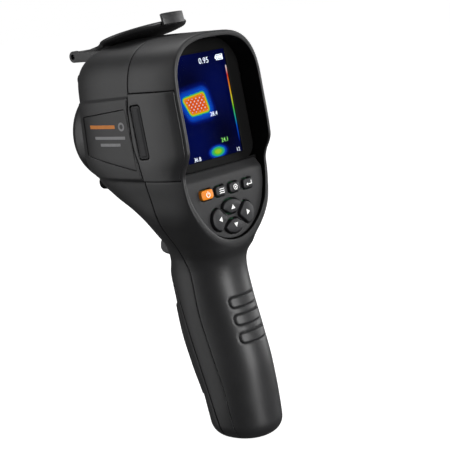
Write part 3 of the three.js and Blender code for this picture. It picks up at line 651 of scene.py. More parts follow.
def shader_node(tree, kind, inputs=None, **settings):
    """A node with its settings and its inputs, each a value or another node's socket."""
    made = tree.nodes.new(kind)
    for key, value in settings.items():
        setattr(made, key, value)
    for key, value in (inputs or {}).items():
        if isinstance(value, bpy.types.NodeSocket):
            tree.links.new(value, made.inputs[key])
        else:
            made.inputs[key].default_value = value
    return made


def ramp(tree, value, stops):
    """A colour ramp over the stops, (position, colour)."""
    made = shader_node(tree, "ShaderNodeValToRGB", {"Fac": value})
    elements = made.color_ramp.elements
    for element, (position, colour) in zip(elements, (stops[0], stops[-1])):
        element.position = position
        element.color = (*colour, 1)
    for position, colour in stops[1:-1]:
        elements.new(position).color = (*colour, 1)
    return made.outputs["Color"]


def range_of(tree, value, low, high):
    """The value, from 0 to 1, stretched to run from low to high."""
    made = shader_node(tree, "ShaderNodeMapRange", {"Value": value, "To Min": low, "To Max": high})
    return made.outputs["Result"]


def noise(tree, size, detail=3, rough=0.6):
    """Noise over the object whose features are about size mm across."""
    place = shader_node(tree, "ShaderNodeTexCoord").outputs["Object"]
    inputs = {"Vector": place, "Scale": 1 / (size * MM), "Detail": detail, "Roughness": rough}
    return shader_node(tree, "ShaderNodeTexNoise", inputs).outputs["Fac"]


def surface_material(name, colour, roughness, grain, relief, mottle=0.15, patch=14, gloss_spread=0.07,
                     worn=None, **sockets):
    """A material with a grain in relief, patches of slightly other colour and gloss, and worn edges.

    grain and patch are sizes in mm, relief is the grain's height in mm, and worn is the edges' colour."""
    material = bpy.data.materials.new(name)
    material.use_nodes = True
    tree = material.node_tree
    shader = tree.nodes["Principled BSDF"]
    for key, value in sockets.items():
        shader.inputs[key.replace("_", " ")].default_value = value
    cloud = noise(tree, patch, 4)
    fine = noise(tree, grain)
    dark, pale = [tuple(c * (1 + sign * mottle) for c in colour) for sign in (-1, 1)]
    shade_of = ramp(tree, cloud, [(0.3, dark), (0.7, pale)])
    if worn:
        edge = shader_node(tree, "ShaderNodeNewGeometry").outputs["Pointiness"]
        rubbed = shader_node(tree, "ShaderNodeMapRange", {"Value": edge, "From Min": 0.53, "From Max": 0.62})
        broken = shader_node(tree, "ShaderNodeMath", {0: rubbed.outputs["Result"], 1: cloud},
                             operation="MULTIPLY")
        mix = tree.nodes.new("ShaderNodeMix")
        mix.data_type = "RGBA"
        tree.links.new(broken.outputs[0], mix.inputs[0])
        tree.links.new(shade_of, mix.inputs[6])
        mix.inputs[7].default_value = (*worn, 1)
        shade_of = mix.outputs[2]
    tree.links.new(shade_of, shader.inputs["Base Color"])
    gloss = range_of(tree, fine, roughness - gloss_spread, roughness + gloss_spread)
    tree.links.new(gloss, shader.inputs["Roughness"])
    bump = shader_node(tree, "ShaderNodeBump", {"Height": fine, "Distance": relief * MM, "Strength": 1.0})
    tree.links.new(bump.outputs["Normal"], shader.inputs["Normal"])
    return material


def screen_material():
    """The lit thermal picture, coloured by each point's temperature."""
    material = bpy.data.materials.new("thermal_picture")
    material.use_nodes = True
    tree = material.node_tree
    shader = tree.nodes["Principled BSDF"]
    heat = shader_node(tree, "ShaderNodeAttribute", attribute_name="picture_heat").outputs["Fac"]
    colour = ramp(tree, heat, THERMAL_PALETTE)
    shader.inputs["Base Color"].default_value = (0.0006, 0.0006, 0.001, 1)
    tree.links.new(colour, shader.inputs["Emission Color"])
    shader.inputs["Emission Strength"].default_value = 0.85
    shader.inputs["Specular IOR Level"].default_value = 0
    tree.links.new(range_of(tree, noise(tree, 2), 0.3, 0.4), shader.inputs["Roughness"])
    return material


def ink(name, colour, glow=0.0):
    """Printed or lit marks; a glow given to a printed mark is a painted glow."""
    sockets = {"Emission_Color": (*colour, 1), "Emission_Strength": glow} if glow else {}
    return surface_material(name, colour, 0.5, 0.12, 0.004, mottle=0.06, patch=2, **sockets)


THERMAL_PALETTE = [(0, (0.0005, 0.001, 0.016)), (0.2, (0.001, 0.008, 0.16)), (0.36, (0.004, 0.08, 0.62)),
                   (0.46, (0.02, 0.45, 0.30)), (0.55, (0.09, 0.62, 0.03)), (0.66, (0.78, 0.72, 0.02)),
                   (0.78, (0.95, 0.30, 0.01)), (0.9, (0.85, 0.03, 0.01)), (1, (1, 0.9, 0.85))]

CHARCOAL = (0.017, 0.017, 0.018)
HOUSING = surface_material("housing_plastic", CHARCOAL, 0.46, 0.35, 0.022, worn=(0.045, 0.046, 0.048))
TRIM = surface_material("trim_plastic", (0.016, 0.016, 0.017), 0.42, 0.28, 0.014, worn=(0.07, 0.07, 0.075))
COVER_PLASTIC = surface_material("cover_plastic", (0.016, 0.016, 0.017), 0.44, 0.32, 0.018,
                                 worn=(0.07, 0.07, 0.075))
BEZEL = surface_material("bezel_plastic", (0.008, 0.008, 0.009), 0.36, 0.25, 0.010, worn=(0.04, 0.04, 0.045))
# Painted shade: the inside of the hood, the screw wells and the floor under the keys are the housing's
# plastic, made near black with weak reflection to stand for the shade in them.
PAINTED_SHADE_BLACK = surface_material("painted_shade_black", (0.002, 0.002, 0.002), 0.7, 0.3, 0.02, Specular_IOR_Level=0.15)
KEYPAD = surface_material("keypad_plastic", (0.021, 0.021, 0.022), 0.5, 0.3, 0.016, worn=(0.08, 0.08, 0.085))
KEY = surface_material("key_rubber", (0.016, 0.016, 0.018), 0.55, 0.22, 0.01, worn=(0.05, 0.05, 0.055))
POWER = surface_material("power_key_rubber", (0.95, 0.27, 0.004), 0.5, 0.22, 0.01, mottle=0.05,
                         worn=(0.98, 0.42, 0.08))
PORT_RUBBER = surface_material("port_rubber", (0.020, 0.020, 0.022), 0.62, 0.2, 0.014)
TRIGGER_PLASTIC = surface_material("trigger_plastic", (0.022, 0.022, 0.025), 0.4, 0.3, 0.014,
                                   worn=(0.07, 0.07, 0.075))
LABEL_PLATE = surface_material("label_plate", (0.009, 0.009, 0.010), 0.45, 0.18, 0.004, mottle=0.08)
LCD_SURROUND = surface_material("screen_surround", (0.003, 0.003, 0.003), 0.55, 0.2, 0.004,
                                Specular_IOR_Level=0.12)
GLASS = surface_material("screen_glass", (0.9, 0.92, 0.95), 0.03, 1.2, 0.0006, mottle=0.02,
                         gloss_spread=0.015, Transmission_Weight=1.0, IOR=1.12)
GERMANIUM = surface_material("germanium_lens", (0.12, 0.11, 0.16), 0.14, 0.8, 0.001, gloss_spread=0.03,
                             Metallic=0.85, Coat_Weight=0.6)
CAMERA_GLASS = surface_material("camera_glass", (0.010, 0.011, 0.018), 0.08, 1.0, 0.0006, gloss_spread=0.02,
                                Coat_Weight=1.0)
ALUMINIUM = surface_material("aluminium", (0.42, 0.42, 0.44), 0.34, 0.15, 0.004, Metallic=1.0)
STEEL = surface_material("steel", (0.34, 0.34, 0.36), 0.3, 0.12, 0.003, Metallic=1.0)
INNER = surface_material("inner_plastic", (0.035, 0.035, 0.037), 0.55, 0.4, 0.02)
BOARD = surface_material("circuit_board", (0.010, 0.075, 0.030), 0.4, 0.9, 0.01, mottle=0.3, patch=3)
CELL_WRAP = surface_material("cell_wrap", (0.045, 0.11, 0.33), 0.35, 0.5, 0.006)
# Painted glow: the white print on the keys gets a faint emission, though nothing lights it from inside.
WHITE_INK_PAINTED_GLOW = ink("white_ink_painted_glow", (0.9, 0.9, 0.88), 0.35)
PALE_INK = ink("pale_ink", (0.30, 0.30, 0.31))
AMBER_INK = ink("amber_ink", (0.85, 0.26, 0.02))
LIT_WHITE = ink("lit_white", (0.82, 0.86, 0.9), 0.9)
LIT_GREEN = ink("lit_green", (0.25, 0.75, 0.12), 0.8)

CARRIED_OVER = {
    ALUMINIUM: ["ir_detector"],
    STEEL: ["shutter_motor", "hinge_pin", "trigger_pin", "battery_spring", "battery_contact", "usb_socket",
            "card_socket", "housing_screw_top_left", "housing_screw_top_right", "housing_screw_bottom_left",
            "housing_screw_bottom_right"],
    INNER: ["shutter_flag", "viewing_camera", "trigger_switch", "battery_holder"],
    CELL_WRAP: ["battery_cell"],
    BOARD: ["keypad_board", "main_board"],
}


# ---- the housing's pieces ------------------------------------------------------------------------

def vertical(across, low, high, step=1.5):
    """A line up the housing, at across(way) over ways from low to high."""
    ways = np.linspace(low, high, max(2, int(abs(high - low) / step)))
    return np.stack([across(ways) if callable(across) else np.full(len(ways), across), ways], 1)


def underside_end(across):
    """The way, below 0, at which the underside reaches the middle of the base."""
    return -np.interp(across, ACROSS[0], SECTIONS[0, :, 0])


def underside_line(start, end):
    across = np.linspace(start, end, max(3, int(abs(end - start) / 0.8)))
    return np.stack([across, underside_end(across)], 1)


def top_line(start, end):
    across = np.linspace(start, end, max(3, int(abs(end - start) / 0.9)))
    return np.stack([across, np.full(len(across), WAY_TOP)], 1)


def on_side(outline):
    """A (y, z) outline on the housing's side, as measures."""
    return np.array([measure(z, y=y) for y, z in outline])


def on_front(outline):
    """An (x, z) outline on the housing's front, as measures."""
    return np.array([measure(z, x=x) for x, z in outline])


def on_rear(outline):
    """An (x, z) outline on the housing's rear, as measures."""
    return np.array([measure(z, x=x, columns=REAR) for x, z in outline])


def loop_of(outline, step=1.0):
    return resampled(closed(np.asarray(outline, float)), step)[:-1]


RIM_EDGE = 1.2  # how far the rounding of the rim's outer edge reaches
RIM_LIP, RIM_CHIN, RIM_BROW = 1.9, 1.6, 1.0  # the lip's width, and what it gains below and at the top
RIB_HEIGHTS = [78.4, 68.8, 58.8]
RIB_HALF, RIB_CORNER = (10.2, 3.1), 2.4
RIB_RISE, RIB_GROOVE = 0.6, 0.3


def rim_line():
    """The edge of the screen hood, from the bottom of its U to the top, as measures."""
    turns = np.linspace(0, math.pi / 2, 60)
    z = RIM_U_CENTRE - RIM_U_HEIGHT * np.cos(turns)
    ways = np.concatenate([np.interp(z, LEVEL_Z, WAY), np.linspace(way_at(RIM_U_CENTRE), WAY_TOP, 110)[1:]])
    dense = np.stack([np.interp(ways, WAY, ACROSS[:, 0]), ways], 1)
    return even(dense, EDGE_SPACING)


def even(line, step):
    """The polyline with its points spread evenly, about step apart."""
    reach = np.concatenate([[0], np.cumsum(np.hypot(*np.diff(line, axis=0).T))])
    places = np.linspace(0, reach[-1], int(reach[-1] / step) + 1)
    return np.stack([np.interp(places, reach, line[:, 0]), np.interp(places, reach, line[:, 1])], 1)


def rim_start_line():
    """Where the rim's rounding starts, and the rim's edge itself."""
    edge = rim_line()
    start = beside(edge, -RIM_EDGE)
    start[0] = (rear_end(edge[0][1] - RIM_EDGE), edge[0][1] - RIM_EDGE)
    start[-1] = edge[-1] + (RIM_EDGE, 0)
    start[:, 1] = np.minimum(start[:, 1], WAY_TOP)
    return start, edge


def rib_relief(points, _):
    """The three ribs under the fingers on the back of the grip, each in a shallow groove."""
    rise = np.zeros(len(points))
    behind = points[:, 1] < along(WIDEST_AT, points[:, 2])
    for height in RIB_HEIGHTS:
        away = rectangle_distance(points[:, ::2], (0, height), RIB_HALF, RIB_CORNER)
        pillow = RIB_RISE * smooth(0, 0.9, -away) - RIB_GROOVE * np.exp(-(away / 0.3) ** 2)
        rise += np.where(behind, pillow, 0)
    return rise


def rib_rows():
    rows = []
    for height in RIB_HEIGHTS:
        for inset in (-1.6, -1, -0.5, -0.2, 0, 0.2, 0.5):
            half = (RIB_HALF[0] + inset, RIB_HALF[1] + inset)
            outline = rounded_rectangle((0, height), half, max(0.5, RIB_CORNER + inset))
            rows.append(on_rear([p for p in loop_of(outline) if p[0] >= 0.05]))
    return rows


def side_cover_back(gap):
    """The line of the side cover's rear edge, gap in front of the rounding of the rim."""
    return lambda way: rear_end(way) + RIM_EDGE + gap


def rear_shell():
    start, edge = rim_start_line()
    low, high = way_at(BAND_BOTTOM - SIDE_COVER_GAP), way_at(BAND_TOP + SIDE_COVER_GAP)
    seam = np.vstack([vertical(-SEAM_GAP, float(underside_end(-SEAM_GAP)), low),
                      vertical(side_cover_back(0.2), low, high),
                      vertical(-SEAM_GAP, high, WAY_TOP)])
    edges = [
        ("mirror", underside_line(float(rear_end(0)), -SEAM_GAP)),
        ("seam", seam),
        ("mirror", top_line(-SEAM_GAP, start[-1][0])),
        ("weld", start[::-1]),
        ("mirror", vertical(rear_end, start[0][1], 0)),
    ]
    points, faces, on_mirror = sheet(edges, housing_surface, rib_relief, rows=rib_rows())
    lip, hood = rim(start, edge)
    return joined(mirrored(points, faces, on_mirror), lip), hood


def whole_loop(rows):
    """Points up the right half of a loop, with their reflections down its left half."""
    return np.vstack([rows, (rows * (-1, 1, 1))[-2:0:-1]])


def rim(start, edge):
    """The lip round the screen and keys, and the hood's inner wall."""
    outer, _ = housing_surface(start)
    corner, _ = housing_surface(edge)
    outer[[0, -1], 0] = 0
    corner[[0, -1], 0] = 0
    outer, corner = whole_loop(outer), whole_loop(corner)
    flat = corner[:, ::2]
    inward = beside(flat, 1, closed=True) - flat
    height = corner[:, 2]
    width = RIM_LIP + RIM_CHIN * smooth(155, 115, height) + RIM_BROW * smooth(205, 225, height)
    end = rim_inset(corner, inward, RIM_EDGE * 0.8, 0)
    rings = [(1 - t) ** 2 * outer + 2 * t * (1 - t) * corner + t * t * end for t in np.linspace(0, 1, 6)]
    for inset, depth in [(-0.4, 0), (-0.12, 0.12), (0, 0.4), (0, 2)]:
        rings.append(rim_inset(corner, inward, width + inset, depth))
    wall = [rim_inset(corner, inward, width + 0.02, depth) for depth in (0.5, 7, 14)]
    return swept(rings, caps=False), swept(wall, caps=False)


def rim_inset(corner, inward, reach, depth):
    """The rim's edge moved inwards in the plane of the rim, and then forwards."""
    x, z = inward.T * reach
    return corner + np.column_stack([x, np.full(len(corner), depth), z])


CHEEK_PROUD, LABEL_PROUD, LABEL_FLOOR = 1.5, 1.2, 0.3


def seam_y(z):
    return SEAM_AT_BASE + SEAM_SLOPE * z


def battery_seam(grow):
    """The seam round the battery cover, from the base up its side and over its corner, moved out by grow."""
    line = [(seam_y(z) - grow, z) for z in np.arange(0, BATTERY_COVER_TOP - COVER_CORNER, 1.5)]
    turn = BATTERY_COVER_TOP - COVER_CORNER
    corner = [(seam_y(turn), turn), (seam_y(BATTERY_COVER_TOP) - 0.6, BATTERY_COVER_TOP - 1.2),
              (seam_y(BATTERY_COVER_TOP) + 4, BATTERY_COVER_TOP)]
    corner = [(y - grow * 0.7, z + grow * 0.7) for y, z in corner]
    return on_side(line + list(filleted(corner, 3, 4, loop=False)))


def cheek_relief(points, _):
    """The raised frame on the cheek, with the label's recess in its middle."""
    side = points[:, 1:3]
    frame_away = polygon_distance(side, filleted(CHEEK, 3))
    label_away = polygon_distance(side, filleted(LABEL, 1.5))
    rise = CHEEK_PROUD * smooth(0, 2.4, -frame_away)
    recess = (CHEEK_PROUD - LABEL_FLOOR) * smooth(-0.1, 0.5, -label_away)
    return np.where(points[:, 0] > 20, rise - recess, 0)


def cheek_rows():
    frame_line, label_line = filleted(CHEEK, 3), filleted(LABEL, 1.5)
    lines = [beside(loop_of(frame_line), inset, closed=True) for inset in (0, 0.5, 1.2, 1.9, 2.4)]
    lines += [beside(loop_of(label_line, 0.8), inset, closed=True) for inset in (-0.1, 0.1, 0.3, 0.5)]
    rows = [line[line[:, 0] > 15] for line in lines]
    return [on_side(row) for row in rows]


def circle(x, z, radius, steps=48):
    turns = np.linspace(0, 2 * math.pi, steps, endpoint=False)
    return [(x + radius * math.cos(t), z + radius * math.sin(t)) for t in turns]


def trigger_slot(low, high):
    """The edge of the trigger's slot, from way low in the middle of the front to way high."""
    side = on_front([(TRIGGER_HALF + TRIGGER_GAP, z) for z in np.arange(TRIGGER_BOTTOM, TRIGGER_TOP, 1.5)])
    return np.vstack([(front_end(low), low), side, (front_end(high), high)])


def lens_hole():
    """The edge of the hole for the lens bezel, from its foot to its top."""
    radius = BEZEL_RADIUS + BEZEL_GAP
    ring = on_front([(radius * math.cos(t), LENS_HEIGHT + radius * math.sin(t))
                     for t in np.radians(np.linspace(-90, 90, 90))])
    ring[0][0], ring[-1][0] = front_end(ring[0][1]), front_end(ring[-1][1])
    return ring


def front_shell():
    seam = battery_seam(BATTERY_SEAM_GAP)
    top_way = way_at(BATTERY_COVER_TOP + BATTERY_SEAM_GAP)
    across_base = seam[0][0]
    trigger_low, trigger_high = way_at(TRIGGER_BOTTOM), way_at(TRIGGER_TOP)
    ring = lens_hole()
    underside = underside_line(SEAM_GAP, across_base)
    base_seam = np.array([(across_base, underside[-1][1]), (across_base, 0)])
    edges = [
        ("mirror", underside),
        ("seam", np.vstack([base_seam[:1], seam, (front_end(top_way), top_way)])),
        ("mirror", vertical(front_end, top_way, trigger_low)),
        ("seam", trigger_slot(trigger_low, trigger_high)),
        ("mirror", vertical(front_end, trigger_high, ring[0][1])),
        ("seam", ring),
        ("mirror", vertical(front_end, ring[-1][1], WAY_TOP)),
        ("mirror", top_line(float(front_end(WAY_TOP)), SEAM_GAP)),
        ("seam", vertical(SEAM_GAP, WAY_TOP, float(underside_end(SEAM_GAP)))),
    ]
    holes = [on_front(circle(x, z, SCREW_WELL_RADIUS)) for x, z in SCREWS]
    points, faces, on_mirror = sheet(edges, housing_surface, cheek_relief, holes, cheek_rows())
    return mirrored(points, faces, on_mirror)


def screw_tube(x, z):
    """The wall of the deep hole over a housing screw."""
    y_end = housing_surface(on_front([(x, z)]))[0][0][1] - 1.6
    inside_radius, outside_radius = SCREW_WELL_RADIUS, SCREW_WELL_RADIUS + 1.1
    profile = [(inside_radius, SCREW_WELL_END), (outside_radius, SCREW_WELL_END),
               (outside_radius, y_end), (inside_radius, y_end)]
    tube = turned_solid(profile, 40)
    return moved(tube, Matrix.Translation((x, 0, z)))


def ear(side):
    """A lug at one end of the lens cover's pin."""
    turns = np.linspace(-math.pi / 2, math.pi / 2, 14)
    nose = [(PIN_Y + EAR_RADIUS * math.cos(t), PIN_Z + EAR_RADIUS * math.sin(t)) for t in turns]
    outline = [(EAR_ROOT, PIN_Z - EAR_RADIUS), *nose, (PIN_Y - 6, PIN_Z + EAR_RADIUS - 0.9),
               (EAR_ROOT, PIN_Z + EAR_RADIUS - 1)]
    low, high = sorted((side * EAR_INSIDE, side * EAR_OUTSIDE))
    lug = moved(prism(outline, low, high, 0.45), ACROSS_X)
    bore = circle(PIN_Y, PIN_Z, PIN_RADIUS + 0.1, 24)
    return carved(lug, moved(prism(bore, low - 1, high + 1, 0.01), ACROSS_X))


def side_cover_relief(_, flat):
    fade = smooth(0, 6, flat[:, 0] - rear_end(flat[:, 1]) - RIM_EDGE)
    return 0.5 + (BAND_PROUD - 0.5) * fade


def port_outline(grow):
    outline = rounded_rectangle((0, 0), (PORT_WIDTH / 2 + grow, PORT_HEIGHT / 2 + grow), 1.6)
    y, z = outline.T
    lean_cos, lean_sin = math.cos(PORT_LEAN), math.sin(PORT_LEAN)
    turned = np.stack([PORT_Y + y * lean_cos + z * lean_sin, PORT_Z - y * lean_sin + z * lean_cos], 1)
    return on_side(loop_of(turned, 0.8))


def side_cover(side):
    low, high = way_at(BAND_BOTTOM), way_at(BAND_TOP)
    front = -SEAM_GAP - 0.15
    back = side_cover_back(0.4)
    outline = np.vstack([[(back(low), low), (front, low)], vertical(front, low, high)[1:],
                         [(back(high), high)], vertical(back, high, low)[1:-1]])
    edges = [("seam", closed(filleted(outline, 1.0, 4)))]
    holes = [port_outline(0.3)] if side < 0 else []
    points, faces, _ = sheet(edges, housing_surface, side_cover_relief, holes, skirt=1.9)
    return to_side((points, faces), side)


def to_side(mesh, side):
    """A mesh of the right half, or its reflection on the left."""
    points, faces = mesh
    if side > 0:
        return mesh
    return np.asarray(points) * (-1, 1, 1), [tuple(reversed(f)) for f in faces]


def port_cover():
    """The rubber flap over the sockets: a raised cushion with a thin bead round it."""
    outline = port_outline(-0.1)

    def cushion(_, flat):
        away = distance_to(flat, [closed(outline)])
        return 0.55 + 0.35 * smooth(0.9, 1.8, away)

    rows = [beside(outline, inset, closed=True) for inset in (0.9, 1.2, 1.5, 1.8)]
    points, faces, _ = sheet([("seam", closed(outline))], housing_surface, cushion, rows=rows, skirt=1.6,
                             radius=0.35)
    return to_side((points, faces), -1)


PANEL_HALF, PANEL_BOTTOM, PANEL_TOP, PANEL_PROUD = 12.5, 22, 77, 1.2
NOTCH_HALF, NOTCH_BOTTOM, NOTCH_TOP, NOTCH_DEPTH = 10, 13, 20, 1.2


def panel_rectangle():
    return (0, (PANEL_TOP + PANEL_BOTTOM) / 2), (PANEL_HALF, (PANEL_TOP - PANEL_BOTTOM) / 2)


def notch_rectangle():
    return (0, (NOTCH_TOP + NOTCH_BOTTOM) / 2), (NOTCH_HALF, (NOTCH_TOP - NOTCH_BOTTOM) / 2)


def battery_cover_relief(points, _):
    panel = rectangle_distance(points[:, ::2], *panel_rectangle(), 3)
    notch = rectangle_distance(points[:, ::2], *notch_rectangle(), 2)
    ridge = 0.25 * np.cos(points[:, 2] * math.pi / 2.5) * smooth(1.5, 3, -panel)
    return PANEL_PROUD * smooth(0, 1.6, -panel) + np.minimum(ridge, 0) - NOTCH_DEPTH * smooth(0, 0.8, -notch)


def battery_cover_rows():
    rows = []
    for (centre, half), radius, insets in [(panel_rectangle(), 3, (0, 0.5, 1.1, 1.6)),
                                           (notch_rectangle(), 2, (0, 0.25, 0.55, 0.8))]:
        for inset in insets:
            outline = rounded_rectangle(centre, (half[0] - inset, half[1] - inset), radius)
            rows.append(on_front([p for p in loop_of(outline, 0.9) if p[0] > 0.05]))
    for z in np.arange(PANEL_BOTTOM + 3, PANEL_TOP - 3, 1.25):
        rows.append(on_front([(x, z) for x in np.arange(0.3, PANEL_HALF - 2, 1.2)]))
    return rows


def battery_cover():
    seam = battery_seam(-BATTERY_SEAM_GAP)
    top_way = way_at(BATTERY_COVER_TOP - BATTERY_SEAM_GAP)
    across_base = seam[0][0]
    end = float(front_end(0))
    underside = underside_line(across_base, end)
    edges = [
        ("mirror", underside),
        ("mirror", vertical(front_end, 0, top_way)),
        ("seam", np.vstack([(front_end(top_way), top_way), seam[::-1], (across_base, underside[0][1])])),
    ]
    points, faces, on_mirror = sheet(edges, housing_surface, battery_cover_relief, rows=battery_cover_rows())
    return mirrored(points, faces, on_mirror)


def raised(height):
    """A relief that lifts a whole sheet by height."""
    return lambda points, _: np.full(len(points), height)


def label_plate(side):
    outline = beside(loop_of(filleted(LABEL, 1.2), 0.8), 0.35, closed=True)
    points, faces, _ = sheet([("seam", closed(on_side(outline)))], housing_surface, raised(LABEL_PROUD),
                             radius=0.3, skirt=0.9)
    return to_side((points, faces), side)


def bar(y, z, half_length, half_height=0.8):
    return rounded_rectangle((y, z), (half_length, half_height), 0.35), []


def label_marks(side, shapes):
    """Flat printed marks on a label plate: (y, z) outlines, each with its holes."""
    marks = []
    for outline, holes in shapes:
        holes = [on_side(hole) for hole in holes]
        points, faces, _ = sheet([("seam", closed(on_side(outline)))], housing_surface,
                                 raised(LABEL_PROUD + 0.03), holes, spacing=0.8, radius=0.01, skirt=0.04)
        marks.append((points, faces))
    return to_side(joined(*marks), side)


LABEL_STRIPE = [bar(46.5, 182, 10.5, 1)]
LABEL_RING = [(circle(30.8, 182, 2.4, 24), [circle(30.8, 182, 1.3, 24)])]
LABEL_BARS = [bar(41.2, 175.9, 12.4), bar(41.4, 172.1, 8.2)]


# ---- optics and lens cover -----------------------------------------------------------------------

def round_profile(profile, radius):
    """A lathe profile with its inner corners rounded; one that starts on the axis ends there too."""
    on_axis = profile[0][0] == 0
    return [tuple(p) for p in filleted(profile, radius, 4, loop=not on_axis)]


def lens_bezel():
    profile = [(11.6, 68), (BEZEL_RADIUS, 68), (BEZEL_RADIUS, 83.1), (26.4, 87.4), (25, 88), (23.6, 87),
               (22.8, 82.5), (13, 79.6), (11.6, 79.6)]
    ring = moved(turned_solid(round_profile(profile, 0.8), 128), Matrix.Translation((0, 0, LENS_HEIGHT)))
    latch = block((-12, LATCH_START, LENS_HEIGHT - 40), (12, 100, LENS_HEIGHT - LATCH_DROP))
    sight = moved(turned_solid([(0, 60), (4.3, 60), (4.3, 100), (0, 100)], 48),
                  Matrix.Translation((0, 0, LENS_HEIGHT - SIGHT_DROP)))
    return carved(ring, latch, sight)


def lathe(profile, radius, height=LENS_HEIGHT, segments=96):
    return moved(turned_solid(round_profile(profile, radius), segments), Matrix.Translation((0, 0, height)))


BARREL = [(9.4, 59), (13.4, 59), (13.4, 66), (11.3, 66.4), (11.3, 78.6), (10.2, 79.2), (9.4, 78.6)]
IR_LENS = [(0, 72), (9.1, 72), (9.1, 76.4), (6.6, 77.2), (3.4, 77.7), (0, 77.9)]
SIGHT_WINDOW = [(0, 78.6), (3.9, 78.6), (3.9, 79.7), (2, 79.8), (0, 79.8)]


# The lens cover's own plane has its pin along x and the origin in it, with the disc towards -y.
COVER_HALF = COVER_THICKNESS / 2


def cover_disc():
    """The domed disc, hollow on the side that faces the lens when it is closed."""
    face, rim_top = -COVER_HALF - COVER_DOME, COVER_HALF - 0.5
    profile = [(0, face), (12, face + 0.2), (20, -COVER_HALF - 0.6), (24, -COVER_HALF + 0.3),
               (DISC_RADIUS, 0.1), (DISC_RADIUS, rim_top), (24.4, COVER_HALF), (18, COVER_HALF),
               (17.4, COVER_HALF - 0.35), (0, COVER_HALF - 0.35)]
    upright = Matrix.Rotation(math.pi / 2, 4, "X")
    disc = moved(turned_solid(round_profile(profile, 0.5), 128), upright)
    return moved(disc, Matrix.Translation((0, -COVER_ARM, 0)))


def cover_strap():
    """The strap from the pin to the disc, wider where they meet."""
    half = [(10.8, 0), (10.8, -18), (17, -27.5), (17, -34)]
    outline = half + [(-x, y) for x, y in half[::-1]]
    return prism(filleted(outline[::-1], 3, 5), -COVER_HALF + 0.05, COVER_HALF - 0.05, 0.5)


def cover_knuckle():
    """The sleeve that turns on the pin."""
    profile = [(0, -10.8), (2.4, -10.8), (2.85, -10.3), (2.85, 10.3), (2.4, 10.8), (0, 10.8)]
    return moved(turned_solid(profile, 40), Matrix.Rotation(-math.pi / 2, 4, "Z"))


def cover_tab():
    """The tab at the far end of the disc, to hook the cover by."""
    turns = np.linspace(-0.3, 0.3, 17) - math.pi / 2
    outer = [(27.5 * math.cos(t), 27.5 * math.sin(t) - COVER_ARM) for t in turns]
    inner = [(25.1 * math.cos(t), 25.1 * math.sin(t) - COVER_ARM) for t in turns[::-1]]
    return prism(filleted(outer + inner, 0.3, 2), -COVER_HALF + 0.1, 5.1, 0.4)


def lens_cover():
    """The open lens cover: a disc on a strap, with a tab at its far end."""
    whole = joined(cover_disc(), cover_strap(), cover_knuckle(), cover_tab())
    hinge = Matrix.Translation((0, PIN_Y, PIN_Z)) @ Matrix.Rotation(-COVER_OPEN_ANGLE, 4, "X")
    return moved(whole, hinge)


TRIGGER_PROFILE = [(43.8, 118.6), (45.2, 114), (47.7, 109.5), (48.1, 106.4), (46.6, 104.2), (43, 103.1),
                   (33, 103.2), (31.6, 112), (32.6, 121), (35, 124), (38.6, 123.4), (41, 120.4)]


def trigger():
    outline = filleted(TRIGGER_PROFILE, 1.2, 4)[::-1]
    return moved(prism(outline, -TRIGGER_HALF + 0.05, TRIGGER_HALF - 0.05, 1.1, 5), ACROSS_X)


# ---- the face: screen and keys -------------------------------------------------------------------
# Measured in the plane of the face: x right, y up the face and z out of it, towards the user.

FACE = Matrix.Translation(FACE_ORIGIN) @ Matrix.Rotation(math.pi / 2 - FACE_LEAN, 4, "X")
ISLAND_HALF, ISLAND_CENTRE, ISLAND_HEIGHT, ISLAND_TOP = 30.2, 8, 35.1, 12.6
PANEL_DEPTH, SCREEN_SLOPE = -1.7, 3.6  # the panel below the rim, and its fall towards the screen
KEY_ROW = [("power_button", -16.9, 9), ("menu_button", -6.1, 7.8), ("select_button", 4.8, 7.8),
           ("enter_button", 16, 7.8)]
KEY_ROW_HEIGHT = 5.2
PAD_CENTRE = -15.1
UPRIGHT_PETAL = dict(base=1.6, base_half=2.2, shoulder=5, shoulder_half=7.2, tip=9.4)
LEVEL_PETAL = dict(base=5.2, base_half=0.9, shoulder=10.6, shoulder_half=6.2, tip=16.6)
PAD_KEYS = {"up": 0, "left": 90, "down": 180, "right": 270}
KEY_TOP = 0.2
KEY_FOOT = -3.1
KEY_EDGE = 0.55  # the radius of a key's edge
KEY_CLEARANCE = 0.6


def island(grow):
    """The keypad's outline, anticlockwise from its top right."""
    half, height = ISLAND_HALF + grow, ISLAND_HEIGHT + grow
    turns = np.linspace(math.pi, 2 * math.pi, 60)
    bowl = [(half * math.cos(t), ISLAND_CENTRE + height * math.sin(t)) for t in turns]
    return np.array([(half, ISLAND_TOP + grow), (-half, ISLAND_TOP + grow), *bowl[:-1]])


def row_key_outline(x, width, grow):
    return rounded_rectangle((x, 0), (width / 2 + grow, KEY_ROW_HEIGHT / 2 + grow), 1.6 + grow)


def petal_outline(direction, grow):
    petal = UPRIGHT_PETAL if direction in ("up", "down") else LEVEL_PETAL
    turns = np.linspace(0, math.pi, 17)
    rise = petal["tip"] - petal["shoulder"] + grow
    base_half, shoulder_half = petal["base_half"] + grow, petal["shoulder_half"] + grow
    points = [(-base_half, petal["base"] - grow), (base_half, petal["base"] - grow)]
    points += [(shoulder_half * math.cos(t), petal["shoulder"] + rise * math.sin(t)) for t in turns]
    turned = Matrix.Rotation(math.radians(PAD_KEYS[direction]), 2)
    points = [turned @ Vector(p) for p in filleted(points, 0.9, 3)]
    return np.array([(p.x, p.y + PAD_CENTRE) for p in points])


def face_surface(flat):
    points = np.column_stack([flat, np.zeros(len(flat))])
    return points, np.tile((0.0, 0.0, 1.0), (len(flat), 1))


def keypad_relief(points, _):
    """The panel lies below the rim and slopes down further to the screen."""
    return PANEL_DEPTH - SCREEN_SLOPE * smooth(6.4, 13.8, points[:, 1])


